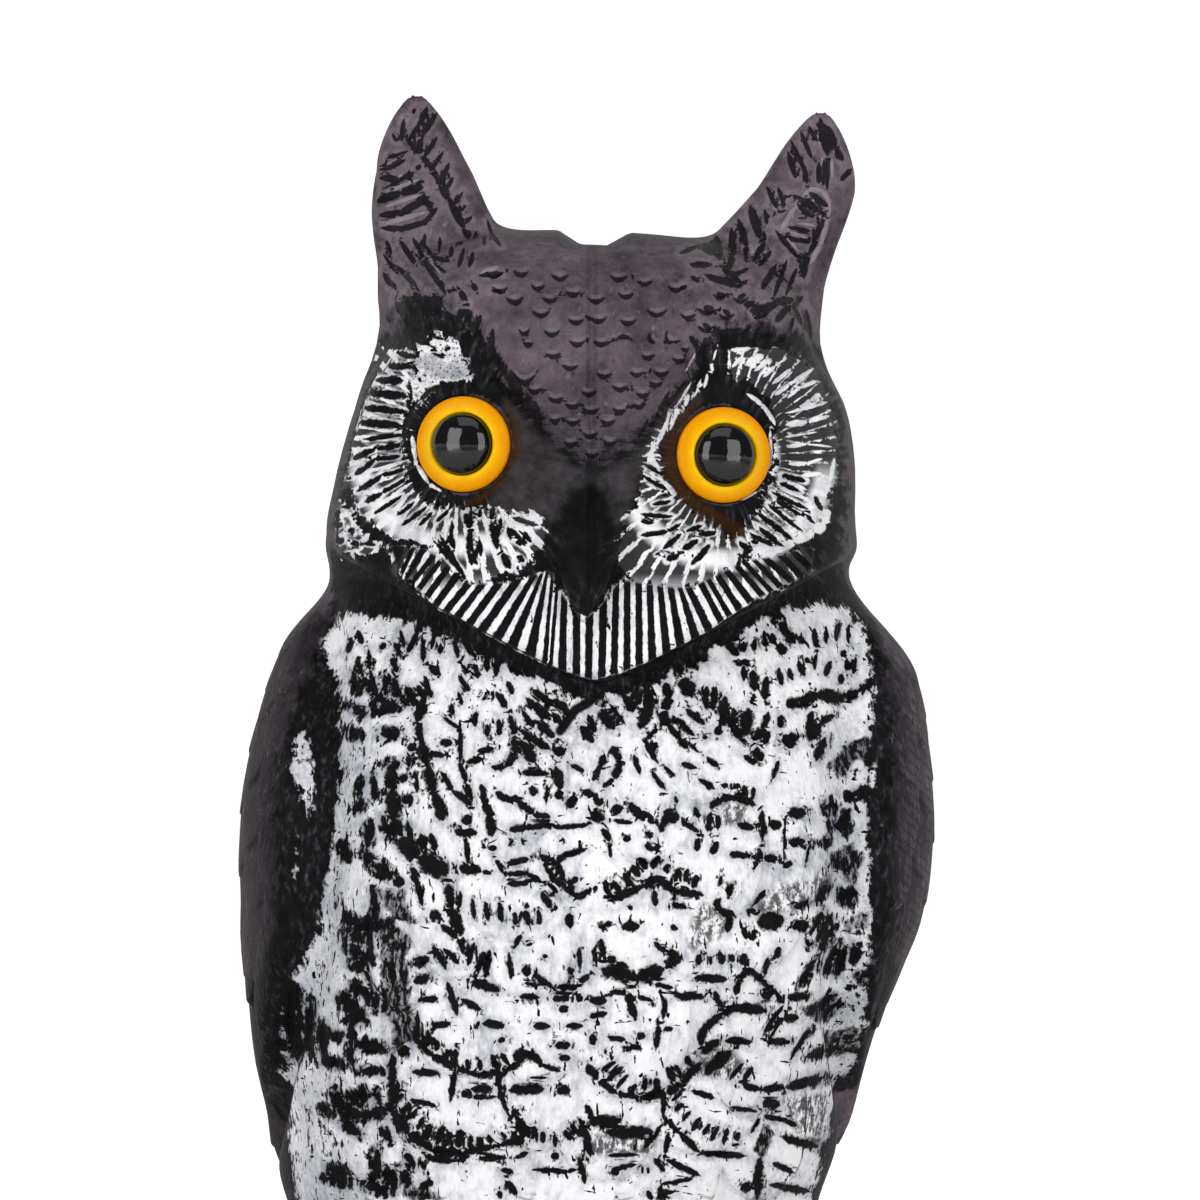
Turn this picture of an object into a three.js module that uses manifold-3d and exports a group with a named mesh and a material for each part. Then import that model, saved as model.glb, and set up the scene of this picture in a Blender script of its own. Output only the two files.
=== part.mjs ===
// An owl decoy: a moulded plastic great horned owl, standing on a low stump, with two set-in eyes.
// The figure is one solid, worked out from a field of blended forms that is zero on its surface.
// Each eye is a yellow iris cup pressed into a socket, with a black domed pupil in the cup.
// Millimetres, +Z up. The owl faces -Y, and the origin is on the underside at the middle of the stump.
import * as THREE from "three";
import { mergeVertices } from "three/addons/utils/BufferGeometryUtils.js";
import Module from "manifold-3d";

// Driving dimensions
const OWL_HEIGHT = 406;
const IRIS_DIAMETER = 25;
const IRIS_THICKNESS = 6.4;
const IRIS_FLOOR = 1.6;
const IRIS_EDGE_DROP = 1.5;
const IRIS_BACK_BEVEL = 0.8;
const PUPIL_DIAMETER = 16;
const PUPIL_DOME_HEIGHT = 4.4;
const EYE_STAND_OUT = 2.2;
const FIT_CLEARANCE = 0.3;

const IRIS_RADIUS = IRIS_DIAMETER / 2;
const PUPIL_RADIUS = PUPIL_DIAMETER / 2;

// The figure's pose and proportions are shares of its own height, in thousandths of it.
const THOUSANDTH = OWL_HEIGHT / 1000;

// Small helpers
const clamp = (v, low, high) => Math.min(Math.max(v, low), high);
const smoothstep = (from, to, v) => {
  const t = clamp((v - from) / (to - from), 0, 1);
  return t * t * (3 - 2 * t);
};
const mix = (a, b, t) => a + (b - a) * t;

// Joins two fields with a fillet of about k.
function smoothUnion(a, b, k) {
  const h = Math.max(k - Math.abs(a - b), 0) / k;
  return Math.min(a, b) - (h * h * k) / 4;
}
const smoothCommon = (a, b, k) => -smoothUnion(-a, -b, k);

// A smooth curve through [place, value] stations, flat beyond both ends.
function curveThrough(stations) {
  const slope = (i) => {
    const before = stations[Math.max(i - 1, 0)];
    const after = stations[Math.min(i + 1, stations.length - 1)];
    return (after[1] - before[1]) / (after[0] - before[0]);
  };
  return (place) => {
    if (place <= stations[0][0]) return stations[0][1];
    const last = stations.length - 1;
    if (place >= stations[last][0]) return stations[last][1];
    let i = 0;
    while (place > stations[i + 1][0]) i++;
    const [x0, y0] = stations[i];
    const [x1, y1] = stations[i + 1];
    const span = x1 - x0;
    const t = (place - x0) / span;
    const t2 = t * t;
    const t3 = t2 * t;
    return (
      y0 * (2 * t3 - 3 * t2 + 1) +
      y1 * (3 * t2 - 2 * t3) +
      slope(i) * span * (t3 - 2 * t2 + t) +
      slope(i + 1) * span * (t3 - t2)
    );
  };
}

// The distance from a point to a rounded bar whose radius runs from ra to rb.
function bar([x, y, z], [ax, ay, az], [bx, by, bz], ra, rb) {
  const dx = bx - ax;
  const dy = by - ay;
  const dz = bz - az;
  const along = (x - ax) * dx + (y - ay) * dy + (z - az) * dz;
  const t = clamp(along / (dx * dx + dy * dy + dz * dz), 0, 1);
  return (
    Math.hypot(x - ax - dx * t, y - ay - dy * t, z - az - dz * t) - mix(ra, rb, t)
  );
}

// A standing form with oval sections: half widths, and depths before and behind the middle,
// at each height. Its top closes in a dome over the last `dome` of its height, and falls by
// `camber` to the front and the back.
function standingForm({ width, front, back, sway, squareness, top, dome, camber }) {
  const halfWidth = curveThrough(width);
  const frontDepth = curveThrough(front);
  const backDepth = curveThrough(back);
  const shoulder = top - dome;
  const norm = (a, b, power) => (a ** power + b ** power) ** (1 / power);
  const field = (x, y, z) => {
    const level = Math.min(z, shoulder);
    const w = halfWidth(level);
    const side = Math.abs(x - sway(z));
    const depth = y < 0 ? (-y * w) / frontDepth(level) : (y * w) / backDepth(level);
    const round = norm(side, depth, y < 0 ? squareness.front : squareness.back);
    const fall = camber * (y / w) ** 2;
    const above = Math.max(z + fall - shoulder, 0) * (w / dome);
    return norm(round, above, squareness.top) - w;
  };
  const frontAt = (x, z) => {
    const level = Math.min(z, shoulder);
    const rise = clamp((z - shoulder) / dome, 0, 0.98);
    const narrowing = (1 - rise ** squareness.top) ** (1 / squareness.top);
    const share = clamp(Math.abs(x - sway(z)) / (halfWidth(level) * narrowing), 0, 0.98);
    const depth = (1 - share ** squareness.front) ** (1 / squareness.front);
    return -frontDepth(level) * narrowing * depth;
  };
  // The angle round the form, as an ellipse has it: 0 at the front, 90 at the side, 180 at the back.
  const turnAt = (x, y, z) => {
    const w = halfWidth(z);
    const depth = y < 0 ? -y / frontDepth(z) : -y / backDepth(z);
    return THREE.MathUtils.radToDeg(Math.atan2(Math.abs(x - sway(z)) / w, depth));
  };
  return { field, frontAt, turnAt };
}

// The owl leans a little to its right below the wings, as the moulding does.
const sway = curveThrough([
  [60, 0],
  [180, -8],
  [270, -16],
  [310, -12],
  [350, -14],
  [390, -12],
  [430, -7.5],
  [460, -3],
  [560, 0],
  [650, 2],
  [690, -4.5],
  [720, -6],
  [770, -2.5],
  [800, -1.5],
  [830, -4],
  [860, -8],
]);

const torso = standingForm({
  width: [
    [60, 116],
    [120, 134],
    [200, 156],
    [268, 180],
    [330, 191],
    [400, 203],
    [470, 218],
    [530, 220],
    [590, 211],
    [631, 199],
    [671, 178],
    [700, 160],
  ],
  front: [
    [60, 96],
    [120, 124],
    [200, 153],
    [268, 174],
    [330, 189],
    [400, 199],
    [470, 201],
    [530, 193],
    [570, 181],
    [600, 168],
    [631, 156],
    [671, 142],
    [700, 130],
  ],
  back: [
    [60, 118],
    [120, 142],
    [200, 162],
    [268, 172],
    [330, 178],
    [400, 182],
    [470, 181],
    [530, 176],
    [590, 168],
    [631, 161],
    [671, 152],
    [700, 144],
  ],
  sway,
  squareness: { front: 2.15, back: 2.15, top: 2 },
  top: 770,
  dome: 70,
  camber: 0,
});

const head = standingForm({
  width: [
    [590, 150],
    [640, 168],
    [680, 175],
    [720, 175],
    [760, 171],
    [800, 161],
    [825, 147.5],
    [840, 141.5],
    [847, 141],
  ],
  front: [
    [590, 184],
    [640, 184],
    [680, 180],
    [720, 175],
    [760, 170],
    [800, 163],
    [825, 157],
    [840, 154.5],
    [847, 154],
  ],
  back: [
    [590, 140],
    [640, 148],
    [680, 154],
    [720, 157],
    [760, 156],
    [800, 150],
    [825, 145],
    [840, 142.5],
    [847, 142],
  ],
  sway,
  squareness: { front: 2.7, back: 2.3, top: 2.7 },
  top: 911,
  dome: 64,
  camber: 18,
});

// The face is turned a little to the owl's right of the ears.
const FACE_MIDDLE = -7;
const EYE_OUT = 83.5;
const EYE_LEVEL = 761;
const EYE_TURN = THREE.MathUtils.degToRad(13);
const DISC_RADIUS = 68;

// The lower edge of the bib, a blunt V under the beak.
const CHIN_LOWEST = 613;
const CHIN_SLOPE = { right: 0.47, left: 0.58 };
const CHIN_BLUNTNESS = 14;
const chinAt = (x) => {
  const slope = x < 0 ? CHIN_SLOPE.right : CHIN_SLOPE.left;
  return CHIN_LOWEST + slope * (Math.hypot(x, CHIN_BLUNTNESS) - CHIN_BLUNTNESS);
};

// Each ear tuft is a flattened horn, hollowed a little in front.
const earMiddle = curveThrough([
  [850, 92],
  [893, 106],
  [926, 121],
  [953, 130],
  [980, 134],
  [1000, 136],
]);
const earRadius = curveThrough([
  [850, 50],
  [893, 46],
  [926, 38],
  [953, 30],
  [966, 25],
  [980, 18],
  [988, 12.5],
  [995.5, 6],
  [1002, -4],
]);
const EAR_ROOT = 800;
const EAR_FLATNESS = 0.58;
const EAR_HOLLOW = 5;
const EAR_STEEPNESS = 0.75;
const earBehind = curveThrough([
  [850, -26],
  [999, -4],
]);
const earShift = curveThrough([
  [850, -7],
  [905, -6],
  [945, 0],
]);
function ear(x, y, z) {
  const across = Math.abs(x - earShift(z)) - earMiddle(z);
  const through = y - earBehind(z);
  const radius = earRadius(z);
  const hollow =
    through < 0 ? EAR_HOLLOW * (1 - smoothstep(0.1, 0.8, Math.abs(across) / radius)) : 0;
  const horn = Math.hypot(across, through / EAR_FLATNESS) - radius;
  return smoothCommon(horn * EAR_STEEPNESS + hollow, EAR_ROOT - z, 10);
}

// The forehead is a wedge that narrows from the crown down to the beak. This is its half width.
const foreheadHalf = curveThrough([
  [735, 6],
  [748, 12],
  [765, 28],
  [805, 57],
  [840, 79],
  [870, 104],
]);
const BROW_LIP = { height: 4, width: 9, from: 742, to: 878 };

// The beak is a hooked teardrop.
const BEAK_MIDDLE = -9;
const beakRadius = curveThrough([
  [645, -6],
  [650, 1],
  [666, 9.5],
  [683, 17.5],
  [706, 22.5],
  [728, 18],
  [742, 10],
  [750, 2],
  [756, -8],
]);
const beakBehind = curveThrough([
  [650, -202],
  [665, -196],
  [700, -180],
  [748, -168],
]);
const BEAK_DEPTH = 1.35;
function beak(x, y, z) {
  const through = (y - beakBehind(z)) / BEAK_DEPTH;
  return Math.hypot(x - BEAK_MIDDLE, through) - beakRadius(z);
}

// The face's relief over the head: sunk eye discs with a rim, eyelids, cheeks and a lip along each brow.
const SOCKET_DEPTH = 13;
const RIM = { height: 4, width: 8 };
const EYELID = { out: 80, level: 806, half: [28, 15], height: 7 };
const CHEEK = { out: 58, level: 694, half: [46, 20], height: 12 };
const mound = ({ out, level, half, height }, besides, z) =>
  height *
  Math.exp(-(((besides - out) / half[0]) ** 2) - ((z - level) / half[1]) ** 2);
function faceRelief(x, y, z) {
  if (y > 0) return 0;
  const out = Math.abs(x - FACE_MIDDLE);
  const r = Math.hypot(out - EYE_OUT, z - EYE_LEVEL);
  const pastBrow = out - foreheadHalf(z);
  const beside = smoothstep(-4, 13, pastBrow);
  const socket = beside * (1 - smoothstep(DISC_RADIUS * 0.55, DISC_RADIUS, r));
  const rim = beside * Math.exp(-(((r - DISC_RADIUS) / RIM.width) ** 2));
  const browSpan =
    smoothstep(BROW_LIP.from, BROW_LIP.from + 16, z) *
    (1 - smoothstep(BROW_LIP.to - 24, BROW_LIP.to, z));
  const brow = browSpan * Math.exp(-(((pastBrow + 5) / BROW_LIP.width) ** 2));
  return (
    RIM.height * rim +
    BROW_LIP.height * brow +
    mound(EYELID, out, z) +
    mound(CHEEK, out, z) -
    SOCKET_DEPTH * socket
  );
}

// A flat seat round each eye, square to the eye's axis.
const SEAT_INNER = IRIS_RADIUS / THOUSANDTH + 4;
const SEAT_OUTER = SEAT_INNER + 15;
const eyeCentre = (side) => {
  const x = FACE_MIDDLE + side * EYE_OUT;
  return new THREE.Vector3(x, head.frontAt(x, EYE_LEVEL) + SOCKET_DEPTH, EYE_LEVEL);
};
const eyeAxis = (side) =>
  new THREE.Vector3(side * Math.sin(EYE_TURN), -Math.cos(EYE_TURN), 0);
const seats = [-1, 1].map((side) => ({ centre: eyeCentre(side), axis: eyeAxis(side) }));
function seatEyes(skull, x, y, z) {
  if (y > 0) return skull;
  const { centre, axis } = seats[x < FACE_MIDDLE ? 0 : 1];
  const [dx, dy, dz] = [x - centre.x, y - centre.y, z - centre.z];
  const before = dx * axis.x + dy * axis.y + dz * axis.z;
  const r = Math.sqrt(Math.max(dx * dx + dy * dy + dz * dz - before * before, 0));
  if (r > SEAT_OUTER || Math.abs(before) > SEAT_OUTER) return skull;
  return mix(before, skull, smoothstep(SEAT_INNER, SEAT_OUTER, r));
}

// Feathers that overlap like tiles, in rows across a surface opened flat: `along` runs round
// it and `up` upwards. Gives how far a feather's surface stands up: most at its rounded lower
// rim, and least under the row above.
const TILE_CAMBER = 0.55;
function tiles(along, up, { width, length, roundness }) {
  const row = Math.floor(up / length);
  for (let r = row + 1; r >= row - 1; r--) {
    const offset = (((r % 2) + 2) % 2) / 2;
    const u = 2 * (along / width + offset - Math.round(along / width + offset));
    const rim = r * length + length * roundness * (1 - Math.sqrt(1 - u * u));
    if (up < rim) continue;
    return (1 - clamp((up - rim) / length, 0, 1)) * (1 - TILE_CAMBER * u * u);
  }
  return 0;
}
const COVERT_FEATHERS = { width: 50, length: 34, roundness: 0.9 };
const FLIGHT_FEATHERS = { width: 38, length: 120, roundness: 0.25 };
const COVERT_RELIEF = 3.5;
const FLIGHT_RELIEF = 5;
const GIRTH_RADIUS = 212;
const COVERTS_END = 455;
const WING_SLANT = THREE.MathUtils.degToRad(24);

// The breast's lobed feathers, upper ones over lower ones: each one's middle, lowest level,
// half width and length.
const BREAST_LOBES = [
  [87, 530, 31, 57],
  [-45, 509, 30, 57],
  [38, 498, 28, 47],
  [8, 463, 40, 74],
  [83, 460, 29, 59],
  [-44, 443, 38, 59],
  [-83, 417, 28, 59],
  [30, 421, 29, 44],
  [-34, 409, 26, 36],
  [87, 419, 36, 47],
  [-116, 395, 21, 59],
  [119, 433, 21, 57],
  [-76, 355, 34, 63],
  [-26, 353, 30, 59],
  [32, 344, 38, 70],
  [116, 376, 23, 57],
  [-138, 336, 17, 57],
  [112, 336, 25, 47],
  [80, 310, 38, 57],
  [-89, 304, 38, 57],
  [-28, 310, 28, 47],
  [19, 292, 32, 57],
  [-133, 283, 28, 57],
  [121, 279, 28, 57],
  [59, 262, 34, 57],
  [-59, 258, 36, 57],
  [-2, 245, 34, 57],
  [101, 236, 32, 57],
  [-102, 232, 32, 57],
  [42, 215, 32, 57],
  [-44, 211, 32, 57],
];
const LOBE_RELIEF = 5.5;
const LOBE_ROUNDNESS = 0.6;
const LOBE_REACH = 1.4;
const LOBE_FADE = [0.35, 1.05];
function lobes(x, z) {
  for (const [middle, lowest, half, length] of BREAST_LOBES) {
    const u = (x - middle) / half;
    if (Math.abs(u) >= 1) continue;
    const rise = (z - lowest) / length - LOBE_ROUNDNESS * (1 - Math.sqrt(1 - u * u));
    if (rise < 0 || rise > LOBE_REACH) continue;
    return LOBE_RELIEF * smoothstep(0, 0.12, rise) * (1 - smoothstep(...LOBE_FADE, rise));
  }
  return 0;
}

// Where each wing's front edge lies round the body, at each height.
const wingEdge = curveThrough([
  [205, 150],
  [235, 128],
  [275, 108],
  [320, 88],
  [365, 72],
  [400, 63],
  [440, 57],
  [490, 54],
  [550, 54],
  [600, 58],
  [640, 63],
  [680, 74],
]);
const wingThickness = curveThrough([
  [220, 3],
  [300, 6],
  [420, 11],
]);
const WING_GROOVE = { depth: 9, before: 5, halfAngle: 5 };
const WING_TOP = [625, 672];
const WING_TIP = [196, 214];
const WING_EDGE_SOFTNESS = 3;
const WING_DROP = { right: 22, left: -8 };
function wingCover(x, y, z) {
  const level = z + (x < 0 ? WING_DROP.right : WING_DROP.left);
  const past = torso.turnAt(x, y, z) - wingEdge(level);
  const span = (1 - smoothstep(...WING_TOP, z)) * smoothstep(...WING_TIP, level);
  const groove = Math.exp(-(((past + WING_GROOVE.before) / WING_GROOVE.halfAngle) ** 2));
  const cover = smoothstep(-WING_EDGE_SOFTNESS, WING_EDGE_SOFTNESS, past);
  return { cover: span * cover, groove: span * groove };
}
function plumage(x, y, z) {
  const round = THREE.MathUtils.degToRad(torso.turnAt(x, y, z)) * GIRTH_RADIUS;
  const { cover, groove } = wingCover(x, y, z);
  const slanted = round * Math.cos(WING_SLANT) + z * Math.sin(WING_SLANT);
  const upward = z * Math.cos(WING_SLANT) - round * Math.sin(WING_SLANT);
  const coverts = COVERT_RELIEF * tiles(slanted, upward, COVERT_FEATHERS);
  const flights = FLIGHT_RELIEF * tiles(slanted, upward, FLIGHT_FEATHERS);
  const folded = mix(flights, coverts, smoothstep(-20, 20, z - COVERTS_END));
  const fade = smoothstep(85, 130, z) * (1 - smoothstep(600, 650, z));
  const breast = y < 0 ? lobes(x, z) * (1 - smoothstep(-60, 0, y)) : 0;
  return (
    wingThickness(z) * cover - WING_GROOVE.depth * groove + mix(breast, folded, cover) * fade
  );
}

// The tail is a flat bundle of long feathers that reaches behind the stump.
const TAIL = {
  top: 330,
  tip: 34,
  tipRadius: 80,
  halfWidth: 64,
  thickness: 15,
  feather: 25,
  ridge: 2.5,
};
const tailBehind = curveThrough([
  [34, 168],
  [150, 170],
  [330, 150],
]);
function tail(x, y, z) {
  const halfWidth = TAIL.halfWidth * mix(1, 0.8, smoothstep(60, TAIL.top, z));
  const ridge = TAIL.ridge * Math.abs(Math.cos((Math.PI * x) / TAIL.feather));
  const tip = TAIL.tip + (x * x) / (2 * TAIL.tipRadius);
  const slab = Math.abs(y - tailBehind(z)) - TAIL.thickness - ridge;
  const sides = smoothCommon(Math.abs(x) - halfWidth, slab, 14);
  return smoothCommon(sides, Math.max(tip - z, z - TAIL.top), 12);
}

// The low stump, with bark grooves. It runs on under the ground, and is cut flat there afterwards.
const STUMP = { radius: 150, topRadius: 140, height: 62, bark: 2.5, grooves: 17 };
function stump(x, y, z) {
  const around = Math.atan2(x, -y);
  const bark =
    STUMP.bark * Math.cos(around * STUMP.grooves + 2 * Math.sin(3 * around));
  const radius = mix(STUMP.radius, STUMP.topRadius, z / STUMP.height) + bark;
  return smoothCommon(Math.hypot(x, y) - radius, z - STUMP.height, 12);
}

// Feathered legs, and three toes a foot whose claws hook over the stump's front edge.
const LEG = { out: 54, radius: 42, knee: 142, ankle: 92 };
const TOES = [-30, 0, 30];
function feet(x, y, z) {
  let nearest = Infinity;
  for (const side of [-1, 1]) {
    const out = side * LEG.out;
    const leg = bar(
      [x, y, z],
      [out, -98, LEG.knee],
      [out, -104, LEG.ankle],
      LEG.radius,
      LEG.radius - 16,
    );
    nearest = Math.min(nearest, leg);
    for (const spread of TOES) {
      const heel = [out + spread * 0.4, -104, 78];
      const knuckle = [out + spread * 0.8, -132, 74];
      const nail = [out + spread, -152, 60];
      const tip = [out + spread * 1.04, -158, 38];
      const toe = smoothUnion(
        bar([x, y, z], heel, knuckle, 13, 12),
        bar([x, y, z], knuckle, nail, 12, 9),
        4,
      );
      nearest = smoothUnion(nearest, toe, 5);
      nearest = smoothUnion(nearest, bar([x, y, z], nail, tip, 8.5, 5), 3);
    }
  }
  return nearest;
}

// The short channel moulded along the top of the crown.
const CHANNEL = { floor: 9, top: 24, depth: 20, halfLength: 104, middle: -13, above: 850 };
function crownChannel(x, y, z) {
  const { floor, top, depth, halfLength, middle, above } = CHANNEL;
  if (z < above) return 0;
  const across = 1 - clamp((Math.abs(x - middle) - floor) / (top - floor), 0, 1);
  return depth * across * (1 - smoothstep(halfLength - 20, halfLength, Math.abs(y)));
}

// The whole figure's field, in thousandths of the height: below zero inside.
const NECK_CREASE = 9;
const NECK_FILLET = 34;
const ROOT_DEPTH = -16;
function figure(x, y, z) {
  const chin = chinAt(x) - z;
  let skull = smoothCommon(head.field(x, y, z), chin, 8);
  skull = smoothUnion(skull, ear(x, y, z), 20);
  skull = seatEyes(skull + crownChannel(x, y, z) - faceRelief(x, y, z), x, y, z);
  skull = smoothUnion(skull, beak(x, y, z), 5);
  const trunk = torso.field(x, y, z) - plumage(x, y, z);
  const neck = mix(NECK_CREASE, NECK_FILLET, smoothstep(-110, -20, y));
  let body = smoothUnion(skull, trunk, neck);
  body = smoothUnion(body, tail(x, y, z), 14);
  body = smoothUnion(body, feet(x, y, z), 6);
  body = smoothUnion(body, stump(x, y, z), 5);
  return Math.max(body, ROOT_DEPTH - z);
}

// Wraps a field's zero surface in four-sided faces, with a corner in each grid cell that the
// surface crosses.
// A cell that the surface crosses in separate sheets gets a corner for each sheet.
// It starts at a place inside the field and follows the surface from cell to cell.
function wrap(field, spacing, inside) {
  const key = (i, j, k) => `${i},${j},${k}`;
  const known = new Map();
  const valueAt = (i, j, k) => {
    const name = key(i, j, k);
    if (!known.has(name)) known.set(name, field(i * spacing, j * spacing, k * spacing));
    return known.get(name);
  };
  // A cell's twelve edges are numbered by their axis and by their places along the next two axes.
  const edgeNumber = (axis, next, afterNext) => axis * 4 + next + 2 * afterNext;
  const corners = [];
  const cornersOfCell = new Map();
  const crossingsOf = (cell) => {
    const crossing = new Array(12).fill(null);
    for (let axis = 0; axis < 3; axis++)
      for (let edge = 0; edge < 4; edge++) {
        const start = [...cell];
        start[(axis + 1) % 3] += edge & 1;
        start[(axis + 2) % 3] += edge >> 1;
        const end = [...start];
        end[axis] += 1;
        const a = valueAt(...start);
        const b = valueAt(...end);
        if (a < 0 !== b < 0)
          crossing[edgeNumber(axis, edge & 1, edge >> 1)] = start.map(
            (from, c) => mix(from, end[c], a / (a - b)) * spacing,
          );
      }
    return crossing;
  };
  const start = inside.map((v) => Math.round(v / spacing));
  while (valueAt(start[0] + 1, start[1], start[2]) < 0) start[0] += 1;
  const queue = [start];
  const seen = new Set([key(...start)]);
  while (queue.length) {
    const cell = queue.pop();
    const crossing = crossingsOf(cell);
    const sheet = crossing.map((_, n) => n);
    const sheetOf = (n) => (sheet[n] === n ? n : sheetOf(sheet[n]));
    const join = (m, n) => {
      sheet[sheetOf(m)] = sheetOf(n);
    };
    for (let axis = 0; axis < 3; axis++)
      for (const side of [0, 1]) {
        const [u, v] = [(axis + 1) % 3, (axis + 2) % 3];
        const alongU = (b) => edgeNumber(u, b, side);
        const alongV = (a) => edgeNumber(v, side, a);
        const sides = [alongU(0), alongU(1), alongV(0), alongV(1)];
        const crossed = sides.filter((n) => crossing[n]);
        if (!crossed.length) continue;
        const beyond = [...cell];
        beyond[axis] += side ? 1 : -1;
        if (!seen.has(key(...beyond))) {
          seen.add(key(...beyond));
          queue.push(beyond);
        }
        if (crossed.length === 2) {
          join(...crossed);
          continue;
        }
        for (const a of [0, 1])
          for (const b of [0, 1]) {
            const corner = [...cell];
            corner[axis] += side;
            corner[u] += a;
            corner[v] += b;
            if (valueAt(...corner) < 0) join(alongU(b), alongV(a));
          }
      }
    const sheets = new Map();
    crossing.forEach((place, n) => {
      if (!place) return;
      const root = sheetOf(n);
      if (!sheets.has(root)) sheets.set(root, []);
      sheets.get(root).push({ place, n });
    });
    const cornerAtEdge = [];
    for (const members of sheets.values()) {
      for (const { n } of members) cornerAtEdge[n] = corners.length;
      const total = (c) => members.reduce((sum, { place }) => sum + place[c], 0);
      corners.push([0, 1, 2].map((c) => total(c) / members.length));
    }
    cornersOfCell.set(key(...cell), { cell, cornerAtEdge });
  }

  const faces = [];
  for (const { cell } of cornersOfCell.values())
    for (let axis = 0; axis < 3; axis++) {
      const next = [...cell];
      next[axis] += 1;
      const within = valueAt(...cell) < 0;
      if (within === valueAt(...next) < 0) continue;
      const cornerIn = (du, dv) => {
        const around = [...cell];
        around[(axis + 1) % 3] -= du;
        around[(axis + 2) % 3] -= dv;
        return cornersOfCell.get(key(...around)).cornerAtEdge[edgeNumber(axis, du, dv)];
      };
      const loop = [cornerIn(1, 1), cornerIn(0, 1), cornerIn(0, 0), cornerIn(1, 0)];
      faces.push(within ? loop : loop.reverse());
    }
  return { corners, faces };
}

// Evens out the corners' spacing.
function even({ corners, faces }, rounds) {
  const neighbours = corners.map(() => new Set());
  for (const face of faces)
    face.forEach((a, n) => {
      const b = face[(n + 1) % 4];
      neighbours[a].add(b);
      neighbours[b].add(a);
    });
  let places = corners;
  for (let round = 0; round < rounds; round++)
    places = places.map((place, n) => {
      const near = [...neighbours[n]];
      const middle = (c) => near.reduce((sum, m) => sum + places[m][c], 0) / near.length;
      return place.map((v, c) => mix(v, middle(c), 0.5));
    });
  return places;
}

// Sets each corner on the field's zero surface.
function settle(field, corners) {
  const h = 0.5;
  return corners.map(([x, y, z]) => {
    for (let step = 0; step < 2; step++) {
      const f = field(x, y, z);
      const gx = (field(x + h, y, z) - f) / h;
      const gy = (field(x, y + h, z) - f) / h;
      const gz = (field(x, y, z + h) - f) / h;
      const move = clamp(f / Math.max(gx * gx + gy * gy + gz * gz, 0.3), -2, 2);
      x -= gx * move;
      y -= gy * move;
      z -= gz * move;
    }
    return [x, y, z];
  });
}

// A heap that gives its cheapest entry first.
function cheapestFirst() {
  const heap = [];
  const swap = (i, j) => {
    [heap[i], heap[j]] = [heap[j], heap[i]];
  };
  const push = (entry) => {
    heap.push(entry);
    let i = heap.length - 1;
    while (i > 0) {
      const parent = (i - 1) >> 1;
      if (heap[parent].cost <= heap[i].cost) break;
      swap(i, parent);
      i = parent;
    }
  };
  const pop = () => {
    swap(0, heap.length - 1);
    const entry = heap.pop();
    let i = 0;
    for (;;) {
      let least = i;
      for (const child of [2 * i + 1, 2 * i + 2])
        if (child < heap.length && heap[child].cost < heap[least].cost) least = child;
      if (least === i) return entry;
      swap(i, least);
      i = least;
    }
  };
  return { push, pop, isEmpty: () => heap.length === 0 };
}

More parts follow.
